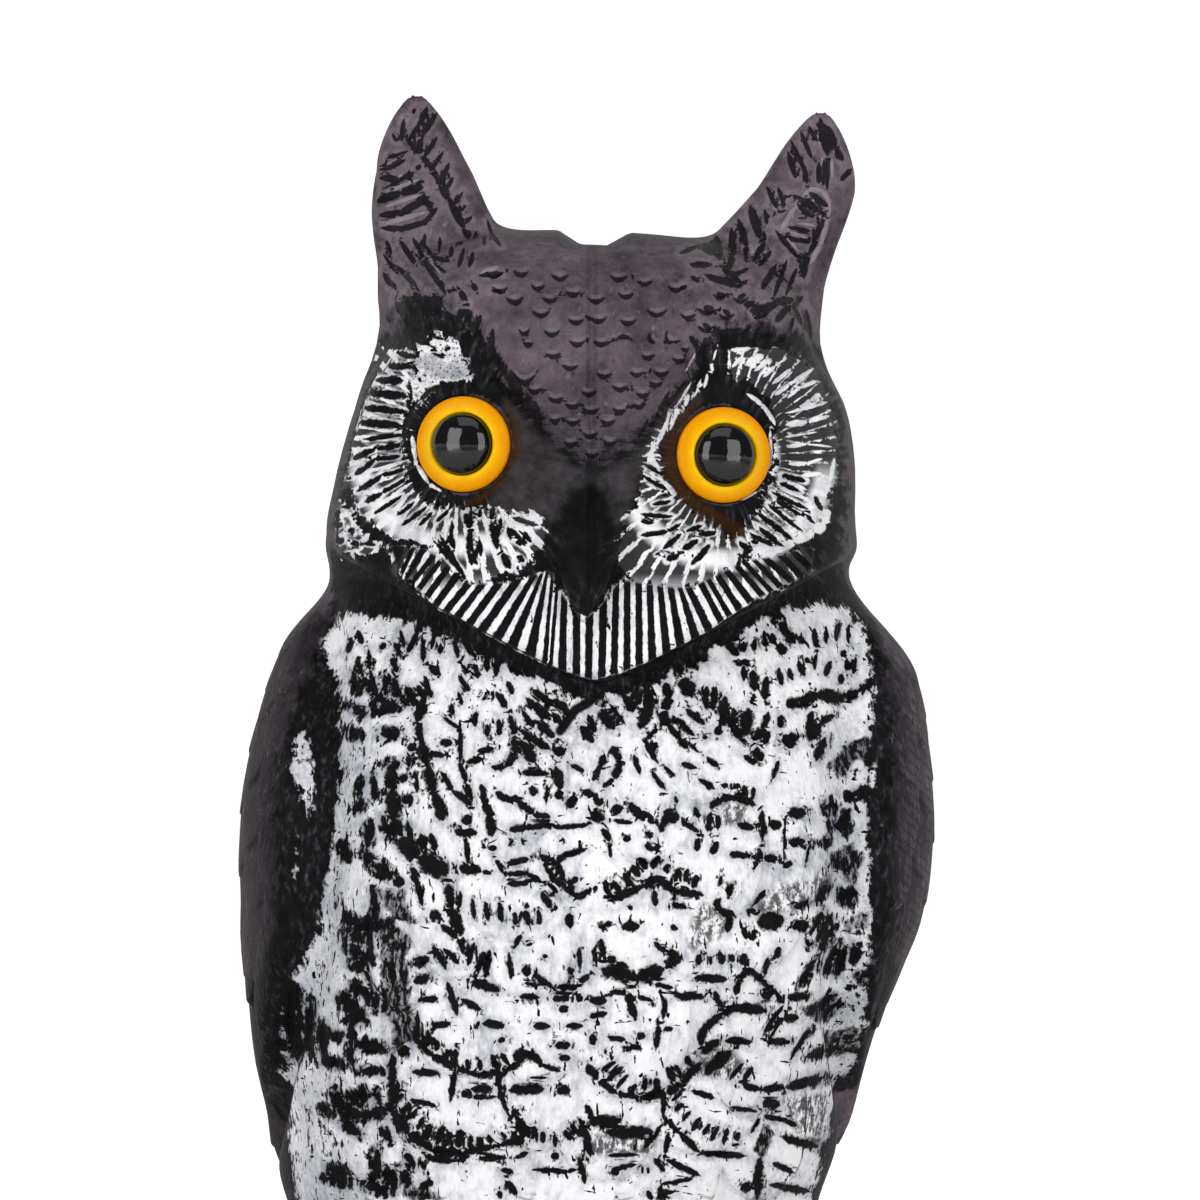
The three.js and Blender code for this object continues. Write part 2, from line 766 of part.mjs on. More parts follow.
// Merges neighbouring corners where the surface loses least by it, until `target` triangles are left.
// Each corner keeps a quadric: the summed squares of the distances to the planes that met in it.
function simplify(corners, triangles, target, weightAt) {
  const places = corners.map((p) => new THREE.Vector3(...p));
  const quadrics = places.map(() => new Float64Array(10));
  const around = places.map(() => new Set());
  const normalOf = ([a, b, c]) => {
    const ab = new THREE.Vector3().subVectors(b, a);
    return ab.cross(new THREE.Vector3().subVectors(c, a));
  };
  triangles.forEach((triangle, t) => {
    const normal = normalOf(triangle.map((n) => places[n]));
    const weight = (normal.length() / 2) * weightAt(places[triangle[0]]);
    const { x, y, z } = normal.normalize();
    const w = -normal.dot(places[triangle[0]]);
    const plane = [x * x, x * y, x * z, x * w, y * y, y * z, y * w, z * z, z * w, w * w];
    for (const n of triangle) {
      plane.forEach((v, c) => {
        quadrics[n][c] += v * weight;
      });
      around[n].add(t);
    }
  });
  const neighboursOf = (n) => {
    const near = new Set();
    for (const t of around[n]) for (const m of triangles[t]) near.add(m);
    near.delete(n);
    return near;
  };
  const version = new Uint32Array(places.length);
  const heap = cheapestFirst();
  const offer = (a, b) => {
    const q = quadrics[a].map((v, c) => v + quadrics[b][c]);
    const middle = new THREE.Vector3().addVectors(places[a], places[b]).divideScalar(2);
    const hold = 2e-3 * (q[0] + q[4] + q[7]) + 1e-9;
    const matrix = new THREE.Matrix3().set(
      ...[q[0] + hold, q[1], q[2]],
      ...[q[1], q[4] + hold, q[5]],
      ...[q[2], q[5], q[7] + hold],
    );
    const place = new THREE.Vector3(-q[3], -q[6], -q[8]).addScaledVector(middle, hold);
    place.applyMatrix3(matrix.invert());
    const { x, y, z } = place;
    const cost =
      q[0] * x * x + q[4] * y * y + q[7] * z * z + q[9] +
      2 * (q[1] * x * y + q[2] * x * z + q[5] * y * z + q[3] * x + q[6] * y + q[8] * z) +
      hold * place.distanceToSquared(middle);
    heap.push({ cost, a, b, place, age: [version[a], version[b]] });
  };
  places.forEach((_, a) => {
    for (const b of neighboursOf(a)) if (a < b) offer(a, b);
  });
  const turnsOver = (t, from, place) => {
    const triangle = triangles[t];
    const before = normalOf(triangle.map((n) => places[n]));
    const after = normalOf(triangle.map((n) => (from.includes(n) ? place : places[n])));
    return after.dot(before) < 0.35 * after.length() * before.length();
  };
  let left = triangles.length;
  while (left > target && !heap.isEmpty()) {
    const { a, b, place, age } = heap.pop();
    if (age[0] !== version[a] || age[1] !== version[b]) continue;
    const nearB = neighboursOf(b);
    const shared = [...neighboursOf(a)].filter((n) => nearB.has(n));
    if (shared.length !== 2) continue;
    const doomed = [...around[a]].filter((t) => around[b].has(t));
    const kept = [...around[a], ...around[b]].filter((t) => !doomed.includes(t));
    if (kept.some((t) => turnsOver(t, [a, b], place))) continue;
    places[a] = place;
    quadrics[a] = quadrics[a].map((v, c) => v + quadrics[b][c]);
    version[a] += 1;
    version[b] += 1;
    for (const t of doomed) for (const n of triangles[t]) around[n].delete(t);
    for (const t of around[b]) {
      triangles[t] = triangles[t].map((n) => (n === b ? a : n));
      around[a].add(t);
    }
    around[b].clear();
    left -= doomed.length;
    for (const n of neighboursOf(a)) offer(a, n);
  }
  const remaining = new Set(around.flatMap((set) => [...set]));
  return { places, triangles: triangles.filter((_, t) => remaining.has(t)) };
}

// Splits each face along its shorter diagonal.
function splitFaces(places, faces) {
  const apart = (a, b) => Math.hypot(...[0, 1, 2].map((c) => places[a][c] - places[b][c]));
  return faces.flatMap(([a, b, c, d]) =>
    apart(a, c) < apart(b, d)
      ? [[a, b, c], [a, c, d]]
      : [[a, b, d], [b, c, d]],
  );
}

const GRID_SPACING = 6;
const FIGURE_TRIANGLES = 8400;
const FACE_WEIGHT = 3;
const EVENING_ROUNDS = 2;
const OWL_MIDDLE = 500;
function figureGeometry() {
  const wrapped = wrap(figure, GRID_SPACING, [0, 0, OWL_MIDDLE]);
  const settled = settle(figure, even(wrapped, EVENING_ROUNDS));
  const weightAt = ({ y, z }) => (y < -60 && z > 590 ? FACE_WEIGHT : 1);
  const split = splitFaces(settled, wrapped.faces);
  const { places, triangles } = simplify(settled, split, FIGURE_TRIANGLES, weightAt);
  const geometry = new THREE.BufferGeometry();
  const positions = places.flatMap((p) => p.toArray()).map((v) => v * THOUSANDTH);
  geometry.setAttribute("position", new THREE.Float32BufferAttribute(positions, 3));
  geometry.setIndex(triangles.flat());
  return geometry;
}

// Each eye's own frame: its axis is +Y in a lathe's profile, and points out of the face here.
const EYE_SECTORS = 24;
function eyeFrame(side) {
  const frame = new THREE.Group();
  frame.position.copy(eyeCentre(side)).multiplyScalar(THOUSANDTH);
  frame.quaternion.setFromUnitVectors(new THREE.Vector3(0, 1, 0), eyeAxis(side));
  frame.updateMatrixWorld(true);
  return frame;
}

// The eye's levels along its axis, from the socket's floor to the iris's front.
const IRIS_FRONT = EYE_STAND_OUT;
const IRIS_BACK = IRIS_FRONT - IRIS_THICKNESS;
const SOCKET_FLOOR = IRIS_BACK - FIT_CLEARANCE;
const PUPIL_BACK = IRIS_BACK + IRIS_FLOOR + FIT_CLEARANCE;
const CUP_RADIUS = PUPIL_RADIUS + FIT_CLEARANCE;

const profile = (points) => points.map(([r, y]) => new THREE.Vector2(r, y));

function irisGeometry() {
  const outline = [
    [0, IRIS_BACK],
    [IRIS_RADIUS - IRIS_BACK_BEVEL, IRIS_BACK],
    [IRIS_RADIUS, IRIS_BACK + IRIS_BACK_BEVEL],
    [IRIS_RADIUS, IRIS_FRONT - IRIS_EDGE_DROP],
  ];
  const steps = 3;
  for (let n = 1; n <= steps; n++) {
    const turn = (Math.PI / 2) * (n / steps);
    outline.push([
      mix(IRIS_RADIUS, CUP_RADIUS, 1 - Math.cos(turn)),
      IRIS_FRONT - IRIS_EDGE_DROP * (1 - Math.sin(turn)),
    ]);
  }
  outline.push([CUP_RADIUS, IRIS_BACK + IRIS_FLOOR], [0, IRIS_BACK + IRIS_FLOOR]);
  return new THREE.LatheGeometry(profile(outline), EYE_SECTORS);
}

function pupilGeometry() {
  const outline = [
    [0, PUPIL_BACK],
    [PUPIL_RADIUS, PUPIL_BACK],
  ];
  const steps = 5;
  for (let n = 0; n <= steps; n++) {
    const turn = (Math.PI / 2) * (n / steps);
    outline.push([
      n === steps ? 0 : PUPIL_RADIUS * Math.cos(turn),
      IRIS_FRONT + PUPIL_DOME_HEIGHT * Math.sin(turn),
    ]);
  }
  return new THREE.LatheGeometry(profile(outline), EYE_SECTORS);
}

// The space cut into the face for an iris, open to the front.
function socketGeometry() {
  const reach = OWL_HEIGHT * 0.1;
  const radius = IRIS_RADIUS + FIT_CLEARANCE;
  const outline = [
    [0, SOCKET_FLOOR],
    [radius, SOCKET_FLOOR],
    [radius, reach],
    [0, reach],
  ];
  return new THREE.LatheGeometry(profile(outline), EYE_SECTORS);
}

const wasm = await Module();
wasm.setup();
function solidOf(geometry, matrix = new THREE.Matrix4()) {
  const bare = geometry.clone().applyMatrix4(matrix);
  bare.deleteAttribute("normal");
  bare.deleteAttribute("uv");
  const merged = mergeVertices(bare, 1e-3);
  return new wasm.Manifold(
    new wasm.Mesh({
      numProp: 3,
      vertProperties: merged.attributes.position.array,
      triVerts: new Uint32Array(merged.index.array),
    }),
  );
}
function geometryOf(solid) {
  const mesh = solid.getMesh();
  const geometry = new THREE.BufferGeometry();
  geometry.setAttribute("position", new THREE.BufferAttribute(mesh.vertProperties, 3));
  geometry.setIndex(new THREE.BufferAttribute(mesh.triVerts, 1));
  geometry.computeVertexNormals();
  return geometry;
}

// Materials
const paint = (color, roughness) =>
  new THREE.MeshStandardMaterial({ color, roughness, metalness: 0 });
const materials = {
  plumage: paint(0x6b6368, 0.72),
  iris: paint(0xf7a81c, 0.32),
  pupil: paint(0x0b0b0b, 0.08),
};

function named(name, geometry, material) {
  const mesh = new THREE.Mesh(geometry, material);
  mesh.name = name;
  return mesh;
}

// Assembly
const owl = new THREE.Group();
const eyes = { right: eyeFrame(-1), left: eyeFrame(1) };

const underground = new THREE.BoxGeometry(OWL_HEIGHT, OWL_HEIGHT, OWL_HEIGHT / 4);
underground.translate(0, 0, -OWL_HEIGHT / 8);
let body = solidOf(figureGeometry()).subtract(solidOf(underground));
for (const frame of Object.values(eyes))
  body = body.subtract(solidOf(socketGeometry(), frame.matrixWorld));
owl.add(named("owl_body", geometryOf(body), materials.plumage));

for (const [side, frame] of Object.entries(eyes)) {
  frame.add(named(`iris_${side}`, irisGeometry(), materials.iris));
  frame.add(named(`pupil_${side}`, pupilGeometry(), materials.pupil));
  owl.add(frame);
}

export default owl;
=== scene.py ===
"""The looks of an owl decoy: plumage in relief and paint, glossy eyes, a pale floor and soft light."""

import math

import bpy
import numpy as np
import openvdb
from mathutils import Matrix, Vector


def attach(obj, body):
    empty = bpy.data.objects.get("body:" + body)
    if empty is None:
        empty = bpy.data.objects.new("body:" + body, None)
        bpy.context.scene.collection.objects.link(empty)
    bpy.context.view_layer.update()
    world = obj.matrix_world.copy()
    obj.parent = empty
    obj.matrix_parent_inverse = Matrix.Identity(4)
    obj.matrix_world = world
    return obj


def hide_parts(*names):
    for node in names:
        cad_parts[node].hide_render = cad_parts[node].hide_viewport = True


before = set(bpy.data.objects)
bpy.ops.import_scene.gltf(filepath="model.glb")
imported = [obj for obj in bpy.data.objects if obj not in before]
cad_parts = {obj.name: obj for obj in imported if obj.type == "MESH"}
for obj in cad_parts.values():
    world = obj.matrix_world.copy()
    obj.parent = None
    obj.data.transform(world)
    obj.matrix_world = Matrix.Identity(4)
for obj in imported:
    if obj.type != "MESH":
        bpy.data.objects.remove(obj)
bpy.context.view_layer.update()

# The figure's forms are in thousandths of its height: UNIT is one in metres, and MM a millimetre in them.
OWL_HEIGHT = 0.406
UNIT = OWL_HEIGHT / 1000
MM = 0.001 / UNIT


# Small helpers
def smoothstep(start, end, v):
    t = np.clip((v - start) / (end - start), 0, 1)
    return t * t * (3 - 2 * t)


def mix(a, b, t):
    return a + (b - a) * t


def smooth_union(a, b, k):
    h = np.maximum(k - np.abs(a - b), 0) / k
    return np.minimum(a, b) - h * h * k / 4


def smooth_common(a, b, k):
    return -smooth_union(-a, -b, k)


CURVE_STEPS = 1500


def curve(*stations):
    """A smooth curve through (place, value) stations, flat beyond both ends."""
    place, value = np.array(stations, float).T
    slope = np.empty(len(place))
    slope[1:-1] = (value[2:] - value[:-2]) / (place[2:] - place[:-2])
    slope[0] = (value[1] - value[0]) / (place[1] - place[0])
    slope[-1] = (value[-1] - value[-2]) / (place[-1] - place[-2])
    fine = np.linspace(place[0], place[-1], CURVE_STEPS)
    i = np.clip(np.searchsorted(place, fine, side="right") - 1, 0, len(place) - 2)
    span = place[i + 1] - place[i]
    t = (fine - place[i]) / span
    values = (
        value[i] * (2 * t**3 - 3 * t**2 + 1)
        + value[i + 1] * (3 * t**2 - 2 * t**3)
        + slope[i] * span * (t**3 - 2 * t**2 + t)
        + slope[i + 1] * span * (t**3 - t**2)
    )
    return lambda v: np.interp(v, fine, values)


def bar(p, a, b, ra, rb):
    """The distance from points to a rounded bar whose radius runs from ra to rb."""
    d = np.subtract(b, a)
    t = np.clip(sum((p[c] - a[c]) * d[c] for c in range(3)) / (d @ d), 0, 1)
    return np.sqrt(sum((p[c] - a[c] - d[c] * t) ** 2 for c in range(3))) - mix(ra, rb, t)


def norm(a, b, power):
    return (a**power + b**power) ** (1 / power)


NEARLY_ONE = 0.98


class Standing:
    """A standing form with oval sections, closed by a dome on top."""

    def __init__(self, width, front, back, squareness, top, dome, camber):
        self.width, self.front, self.back = curve(*width), curve(*front), curve(*back)
        self.squareness, self.dome, self.camber = squareness, dome, camber
        self.shoulder = top - dome

    def field(self, x, y, z):
        level = np.minimum(z, self.shoulder)
        w = self.width(level)
        side = np.abs(x - sway(z))
        ahead, behind, above = self.squareness
        deep = np.abs(y) * w / np.where(y < 0, self.front(level), self.back(level))
        around = np.where(y < 0, norm(side, deep, ahead), norm(side, deep, behind))
        fall = self.camber * (y / w) ** 2
        over = np.maximum(z + fall - self.shoulder, 0) * (w / self.dome)
        return norm(around, over, above) - w

    def front_at(self, x, z):
        level = np.minimum(z, self.shoulder)
        ahead, _, above = self.squareness
        rise = np.clip((z - self.shoulder) / self.dome, 0, NEARLY_ONE)
        narrowing = (1 - rise**above) ** (1 / above)
        share = np.clip(np.abs(x - sway(z)) / (self.width(level) * narrowing), 0, NEARLY_ONE)
        return -self.front(level) * narrowing * (1 - share**ahead) ** (1 / ahead)

    def turn_at(self, x, y, z):
        deep = np.where(y < 0, -y / self.front(z), -y / self.back(z))
        return np.degrees(np.arctan2(np.abs(x - sway(z)) / self.width(z), deep))


sway = curve(
    (60, 0), (180, -8), (270, -16), (310, -12), (350, -14), (390, -12), (430, -7.5), (460, -3),
    (560, 0), (650, 2), (690, -4.5), (720, -6), (770, -2.5), (800, -1.5), (830, -4), (860, -8),
)
torso = Standing(
    width=[
        (60, 116), (120, 134), (200, 156), (268, 180), (330, 191), (400, 203), (470, 218),
        (530, 220), (590, 211), (631, 199), (671, 178), (700, 160),
    ],
    front=[
        (60, 96), (120, 124), (200, 153), (268, 174), (330, 189), (400, 199), (470, 201),
        (530, 193), (570, 181), (600, 168), (631, 156), (671, 142), (700, 130),
    ],
    back=[
        (60, 118), (120, 142), (200, 162), (268, 172), (330, 178), (400, 182), (470, 181),
        (530, 176), (590, 168), (631, 161), (671, 152), (700, 144),
    ],
    squareness=(2.15, 2.15, 2),
    top=770,
    dome=70,
    camber=0,
)
head = Standing(
    width=[
        (590, 150), (640, 168), (680, 175), (720, 175), (760, 171), (800, 161), (825, 147.5),
        (840, 141.5), (847, 141),
    ],
    front=[
        (590, 184), (640, 184), (680, 180), (720, 175), (760, 170), (800, 163), (825, 157),
        (840, 154.5), (847, 154),
    ],
    back=[
        (590, 140), (640, 148), (680, 154), (720, 157), (760, 156), (800, 150), (825, 145),
        (840, 142.5), (847, 142),
    ],
    squareness=(2.7, 2.3, 2.7),
    top=911,
    dome=64,
    camber=18,
)

FACE_MIDDLE = -7
EYE_OUT = 83.5
EYE_LEVEL = 761
EYE_TURN = math.radians(13)
DISC_RADIUS = 68


CHIN_LEVEL = 613
CHIN_SLOPES = (0.47, 0.58)
CHIN_BLUNTNESS = 14


def chin_at(x):
    """The lower edge of the bib, a blunt V under the beak."""
    slope = np.where(x < 0, *CHIN_SLOPES)
    return CHIN_LEVEL + slope * (np.hypot(x, CHIN_BLUNTNESS) - CHIN_BLUNTNESS)


ear_middle = curve((850, 92), (893, 106), (926, 121), (953, 130), (980, 134), (1000, 136))
ear_radius = curve(
    (850, 50), (893, 46), (926, 38), (953, 30), (966, 25), (980, 18), (988, 12.5), (995.5, 6),
    (1002, -4),
)
ear_behind = curve((850, -26), (999, -4))
ear_shift = curve((850, -7), (905, -6), (945, 0))
EAR_FLATNESS = 0.58
EAR_FOOT = 800


def ear(x, y, z):
    across = np.abs(x - ear_shift(z)) - ear_middle(z)
    through = y - ear_behind(z)
    radius = ear_radius(z)
    hollow = np.where(
        through < 0, 5 * (1 - smoothstep(0.1, 0.8, np.abs(across) / np.maximum(radius, 1))), 0
    )
    horn = np.hypot(across, through / EAR_FLATNESS) - radius
    return smooth_common(horn * 0.75 + hollow, EAR_FOOT - z, 10)


forehead_half = curve((735, 6), (748, 12), (765, 28), (805, 57), (840, 79), (870, 104))
beak_radius = curve(
    (645, -6), (650, 1), (666, 9.5), (683, 17.5), (706, 22.5), (728, 18), (742, 10), (750, 2),
    (756, -8),
)
beak_behind = curve((650, -202), (665, -196), (700, -180), (748, -168))
BEAK_MIDDLE = -9
BEAK_DEPTH = 1.35


def beak(x, y, z):
    return np.hypot(x - BEAK_MIDDLE, (y - beak_behind(z)) / BEAK_DEPTH) - beak_radius(z)


# Each mound's place beside the face's middle, its level, its half sizes and its height
EYELID = (80, 806, (28, 15), 7)
CHEEK = (58, 694, (46, 20), 12)
RIM_RISE, BROW_RISE, SOCKET_FALL = 4, 4, 13


def mound(out, level, half, height, beside, z):
    return height * np.exp(-(((beside - out) / half[0]) ** 2) - ((z - level) / half[1]) ** 2)


def face_relief(x, y, z):
    """Sunk eye discs with a rim, eyelids, cheeks and a lip along each brow."""
    out = np.abs(x - FACE_MIDDLE)
    r = np.hypot(out - EYE_OUT, z - EYE_LEVEL)
    past_brow = out - forehead_half(z)
    beside = smoothstep(-4, 13, past_brow)
    socket = beside * (1 - smoothstep(DISC_RADIUS * 0.55, DISC_RADIUS, r))
    rim = beside * np.exp(-(((r - DISC_RADIUS) / 8) ** 2))
    brow_span = smoothstep(742, 758, z) * (1 - smoothstep(854, 878, z))
    brow = brow_span * np.exp(-(((past_brow + 5) / 9) ** 2))
    relief = (
        RIM_RISE * rim
        + BROW_RISE * brow
        + mound(*EYELID, out, z)
        + mound(*CHEEK, out, z)
        - SOCKET_FALL * socket
    )
    return np.where(y > 0, 0, relief)


IRIS_RADIUS_MM = 12.5
SEAT_INNER = IRIS_RADIUS_MM * MM + 4
SEAT_OUTER = SEAT_INNER + 15
SEAT_DEPTH = 13
EYE_SIDES = (-1, 1)


def eye_centre(side):
    x = FACE_MIDDLE + side * EYE_OUT
    return np.array([x, float(head.front_at(x, EYE_LEVEL)) + SEAT_DEPTH, EYE_LEVEL])


def eye_axis(side):
    return np.array([side * math.sin(EYE_TURN), -math.cos(EYE_TURN), 0])


def eye_place(side, x, y, z):
    """How far points lie before an eye's seat, and how far from its axis."""
    centre, axis = eye_centre(side), eye_axis(side)
    d = (x - centre[0], y - centre[1], z - centre[2])
    before = d[0] * axis[0] + d[1] * axis[1] + d[2] * axis[2]
    r = np.sqrt(np.maximum(d[0] ** 2 + d[1] ** 2 + d[2] ** 2 - before**2, 0))
    return before, r


def seat_eyes(skull, x, y, z):
    for side in EYE_SIDES:
        before, r = eye_place(side, x, y, z)
        near = (y < 0) & (r < SEAT_OUTER) & (np.abs(before) < SEAT_OUTER)
        seat = mix(before, skull, smoothstep(SEAT_INNER, SEAT_OUTER, r))
        skull = np.where(near, seat, skull)
    return skull


# The breast's lobed feathers, upper ones over lower ones: middle, lowest level, half width, length.
LOBES = np.array([
    (87, 530, 31, 57), (-45, 509, 30, 57), (38, 498, 28, 47), (8, 463, 40, 74), (83, 460, 29, 59),
    (-44, 443, 38, 59), (-83, 417, 28, 59), (30, 421, 29, 44), (-34, 409, 26, 36),
    (87, 419, 36, 47), (-116, 395, 21, 59), (119, 433, 21, 57), (-76, 355, 34, 63),
    (-26, 353, 30, 59), (32, 344, 38, 70), (116, 376, 23, 57), (-138, 336, 17, 57),
    (112, 336, 25, 47), (80, 310, 38, 57), (-89, 304, 38, 57), (-28, 310, 28, 47),
    (19, 292, 32, 57), (-133, 283, 28, 57), (121, 279, 28, 57), (59, 262, 34, 57),
    (-59, 258, 36, 57), (-2, 245, 34, 57), (101, 236, 32, 57), (-102, 232, 32, 57),
    (42, 215, 32, 57), (-44, 211, 32, 57),
], float)


def lobe_at(x, z):
    """Each point's lobe, or -1, and the rise from its rim in lengths."""
    found = np.full(x.shape, -1)
    rises = np.full(x.shape, 9.0)
    for n, (middle, lowest, half, length) in enumerate(LOBES):
        u = (x - middle) / half
        rise = (z - lowest) / length - 0.6 * (1 - np.sqrt(np.maximum(1 - u * u, 0)))
        mine = (found < 0) & (np.abs(u) < 1) & (rise >= 0) & (rise <= 1.4)
        found = np.where(mine, n, found)
        rises = np.where(mine, rise, rises)
    return found, rises


def lobe_relief(x, z):
    _, rise = lobe_at(x, z)
    return 5.5 * smoothstep(0, 0.12, rise) * (1 - smoothstep(0.35, 1.05, rise))


wing_edge = curve(
    (205, 150), (235, 128), (275, 108), (320, 88), (365, 72), (400, 63), (440, 57), (490, 54),
    (550, 54), (600, 58), (640, 63), (680, 74),
)
wing_thickness = curve((220, 3), (300, 6), (420, 11))
WING_LIFTS = (22, -8)
TRUNK_GIRTH = 212
FEATHER_SLANT = math.radians(24)
COVERTS_ABOVE = 455
# The width, length and roundness of feathers
COVERTS, FLIGHTS, NAPE_SCALES = (50, 34, 0.9), (38, 120, 0.25), (30, 25, 0.9)


def tiles(along, up, width, length, roundness):
    """Feathers that overlap like tiles: how far each stands up, most at its rounded lower rim."""
    row = np.floor(up / length)
    height = np.zeros(along.shape)
    done = np.zeros(along.shape, bool)
    for r in (row + 1, row, row - 1):
        place = along / width + (r % 2) / 2
        u = 2 * (place - np.round(place))
        rim = r * length + length * roundness * (1 - np.sqrt(np.maximum(1 - u * u, 0)))
        mine = ~done & (up >= rim)
        share = (1 - np.clip((up - rim) / length, 0, 1)) * (1 - 0.55 * u * u)
        height = np.where(mine, share, height)
        done |= mine
    return height


def wing_place(x, y, z):
    """The angle past each wing's front edge, and how much of the wing's height is there."""
    level = z + np.where(x < 0, *WING_LIFTS)
    past = torso.turn_at(x, y, z) - wing_edge(level)
    span = (1 - smoothstep(625, 672, z)) * smoothstep(196, 214, level)
    return past, span


def feathers(x, y, z):
    """The folded wings' share of each place, the groove along their edge, and their feathers' relief."""
    around = np.radians(torso.turn_at(x, y, z)) * TRUNK_GIRTH
    past, span = wing_place(x, y, z)
    cover = span * smoothstep(-3, 3, past)
    c, s = math.cos(FEATHER_SLANT), math.sin(FEATHER_SLANT)
    along, up = around * c + z * s, z * c - around * s
    coverts = 3.5 * tiles(along, up, *COVERTS)
    flights = 5 * tiles(along, up, *FLIGHTS)
    folded = mix(flights, coverts, smoothstep(-20, 20, z - COVERTS_ABOVE))
    return cover, span * np.exp(-(((past + 5) / 5) ** 2)), folded


def plumage(x, y, z):
    cover, groove, folded = feathers(x, y, z)
    folded = folded * (1 - 0.65 * np.exp(-(((y - 5) / 75) ** 2)))
    fade = smoothstep(85, 130, z) * (1 - smoothstep(600, 650, z))
    breast = np.where(y < 0, lobe_relief(x, z) * (1 - smoothstep(-60, 0, y)), 0)
    return wing_thickness(z) * cover - 9 * groove + mix(breast, folded, cover) * fade


tail_behind = curve((34, 168), (150, 170), (330, 150))
TAIL_HALF, TAIL_THICKNESS = 64, 15
TAIL_TIP, TAIL_ROOT = 34, 330
STUMP_HEIGHT = 62
STUMP_RADII = (150, 140)


def tail(x, y, z):
    half = TAIL_HALF * mix(1, 0.8, smoothstep(60, TAIL_ROOT, z))
    ridge = 2.5 * np.abs(np.cos(np.pi * x / 25))
    tip = TAIL_TIP + x * x / 160
    slab = np.abs(y - tail_behind(z)) - TAIL_THICKNESS - ridge
    ends = np.maximum(tip - z, z - TAIL_ROOT)
    return smooth_common(smooth_common(np.abs(x) - half, slab, 14), ends, 12)


def stump(x, y, z):
    around = np.arctan2(x, -y)
    bark = 2.5 * np.cos(around * 17 + 2 * np.sin(3 * around))
    side = np.hypot(x, y) - mix(*STUMP_RADII, z / STUMP_HEIGHT) - bark
    return smooth_common(side, z - STUMP_HEIGHT, 12)


def feet(x, y, z):
    p = (x, y, z)
    nearest = np.full(x.shape, 1e3)
    for side in EYE_SIDES:
        out = side * 54
        nearest = np.minimum(nearest, bar(p, (out, -98, 142), (out, -104, 92), 42, 26))
        for spread in (-30, 0, 30):
            heel, knuckle = (out + spread * 0.4, -104, 78), (out + spread * 0.8, -132, 74)
            nail, tip = (out + spread, -152, 60), (out + spread * 1.04, -158, 38)
            toe = smooth_union(bar(p, heel, knuckle, 13, 12), bar(p, knuckle, nail, 12, 9), 4)
            nearest = smooth_union(nearest, toe, 5)
            nearest = smooth_union(nearest, bar(p, nail, tip, 8.5, 5), 3)
    return nearest


CHANNEL_MIDDLE = -13
CHANNEL_DEPTH = 20


def crown_channel(x, y, z):
    across = 1 - np.clip((np.abs(x - CHANNEL_MIDDLE) - 9) / 15, 0, 1)
    return np.where(z < 850, 0, CHANNEL_DEPTH * across * (1 - smoothstep(84, 104, np.abs(y))))


SOCKET_RADIUS = 12.8 * MM
SOCKET_FLOOR = -4.5 * MM
TAIL_AND_FEET_BELOW = 420


def figure(x, y, z):
    """The whole figure's field, below zero inside, with the eyes' sockets cut out."""
    skull = smooth_common(head.field(x, y, z), chin_at(x) - z, 8)
    skull = smooth_union(skull, ear(x, y, z), 20)
    skull = seat_eyes(skull + crown_channel(x, y, z) - face_relief(x, y, z), x, y, z)
    skull = smooth_union(skull, beak(x, y, z), 5)
    trunk = torso.field(x, y, z) - plumage(x, y, z)
    body = smooth_union(skull, trunk, mix(9, 34, smoothstep(-110, -20, y)))
    low = z < TAIL_AND_FEET_BELOW
    for form, softness in ((tail, 14), (feet, 6), (stump, 5)):
        body = np.where(low, smooth_union(body, form(x, y, z), softness), body)
    for side in EYE_SIDES:
        before, r = eye_place(side, x, y, z)
        hole = np.maximum(r - SOCKET_RADIUS, SOCKET_FLOOR - before)
        body = np.where((y < 0) & (before > -60), np.maximum(body, -hole), body)
    return np.maximum(body, -z)


GRID_LOW = np.array([-252.0, -232.0, -24.0])
GRID_HIGH = np.array([252.0, 232.0, 1024.0])
GRID_REACHES = (2.2, 2.0, 2.0)
POINTS_AT_ONCE = 400000


def wrap(spacing):
    """The figure's surface as four-sided faces about `spacing` across, found on finer and finer grids."""
    low, high = GRID_LOW, GRID_HIGH
    coarse = spacing * 2 ** len(GRID_REACHES)
    count = np.ceil((high - low) / coarse).astype(int) + 1
    axes = [low[c] + coarse * np.arange(count[c]) for c in range(3)]
    values = figure(*np.meshgrid(*axes, indexing="ij")).astype(np.float32)
    step = coarse
    for reach in GRID_REACHES:
        near = np.abs(values) < reach * step
        shape = [2 * n - 1 for n in values.shape]
        finer = np.empty(shape, np.float32)
        inside = np.zeros(shape, bool)
        for corner in np.ndindex(2, 2, 2):
            part = tuple(slice(d, None, 2) for d in corner)
            size = finer[part].shape
            take = tuple(slice(0, n) for n in size)
            last = tuple(slice(d, d + n) for d, n in zip(corner, size))
            finer[part] = values[take]
            inside[part] = near[take] | near[last]
        step /= 2
        places = np.nonzero(inside)
        found = np.empty(len(places[0]), np.float32)
        for start in range(0, len(found), POINTS_AT_ONCE):
            part = slice(start, start + POINTS_AT_ONCE)
            found[part] = figure(*(low[c] + step * places[c][part] for c in range(3)))
        finer[places] = found
        values = finer
    grid = openvdb.FloatGrid(float(values.max()))
    grid.copyFromArray(values)
    points, quads = grid.convertToQuads(0.0)
    return low + points.astype(float) * step, quads.astype(np.int64)


def rise_over(p, h):
    """The field at points, and its rise over h along each axis."""
    f = figure(*p.T)
    return f, np.stack([figure(*(p + np.eye(3)[c] * h).T) - f for c in range(3)], 1)


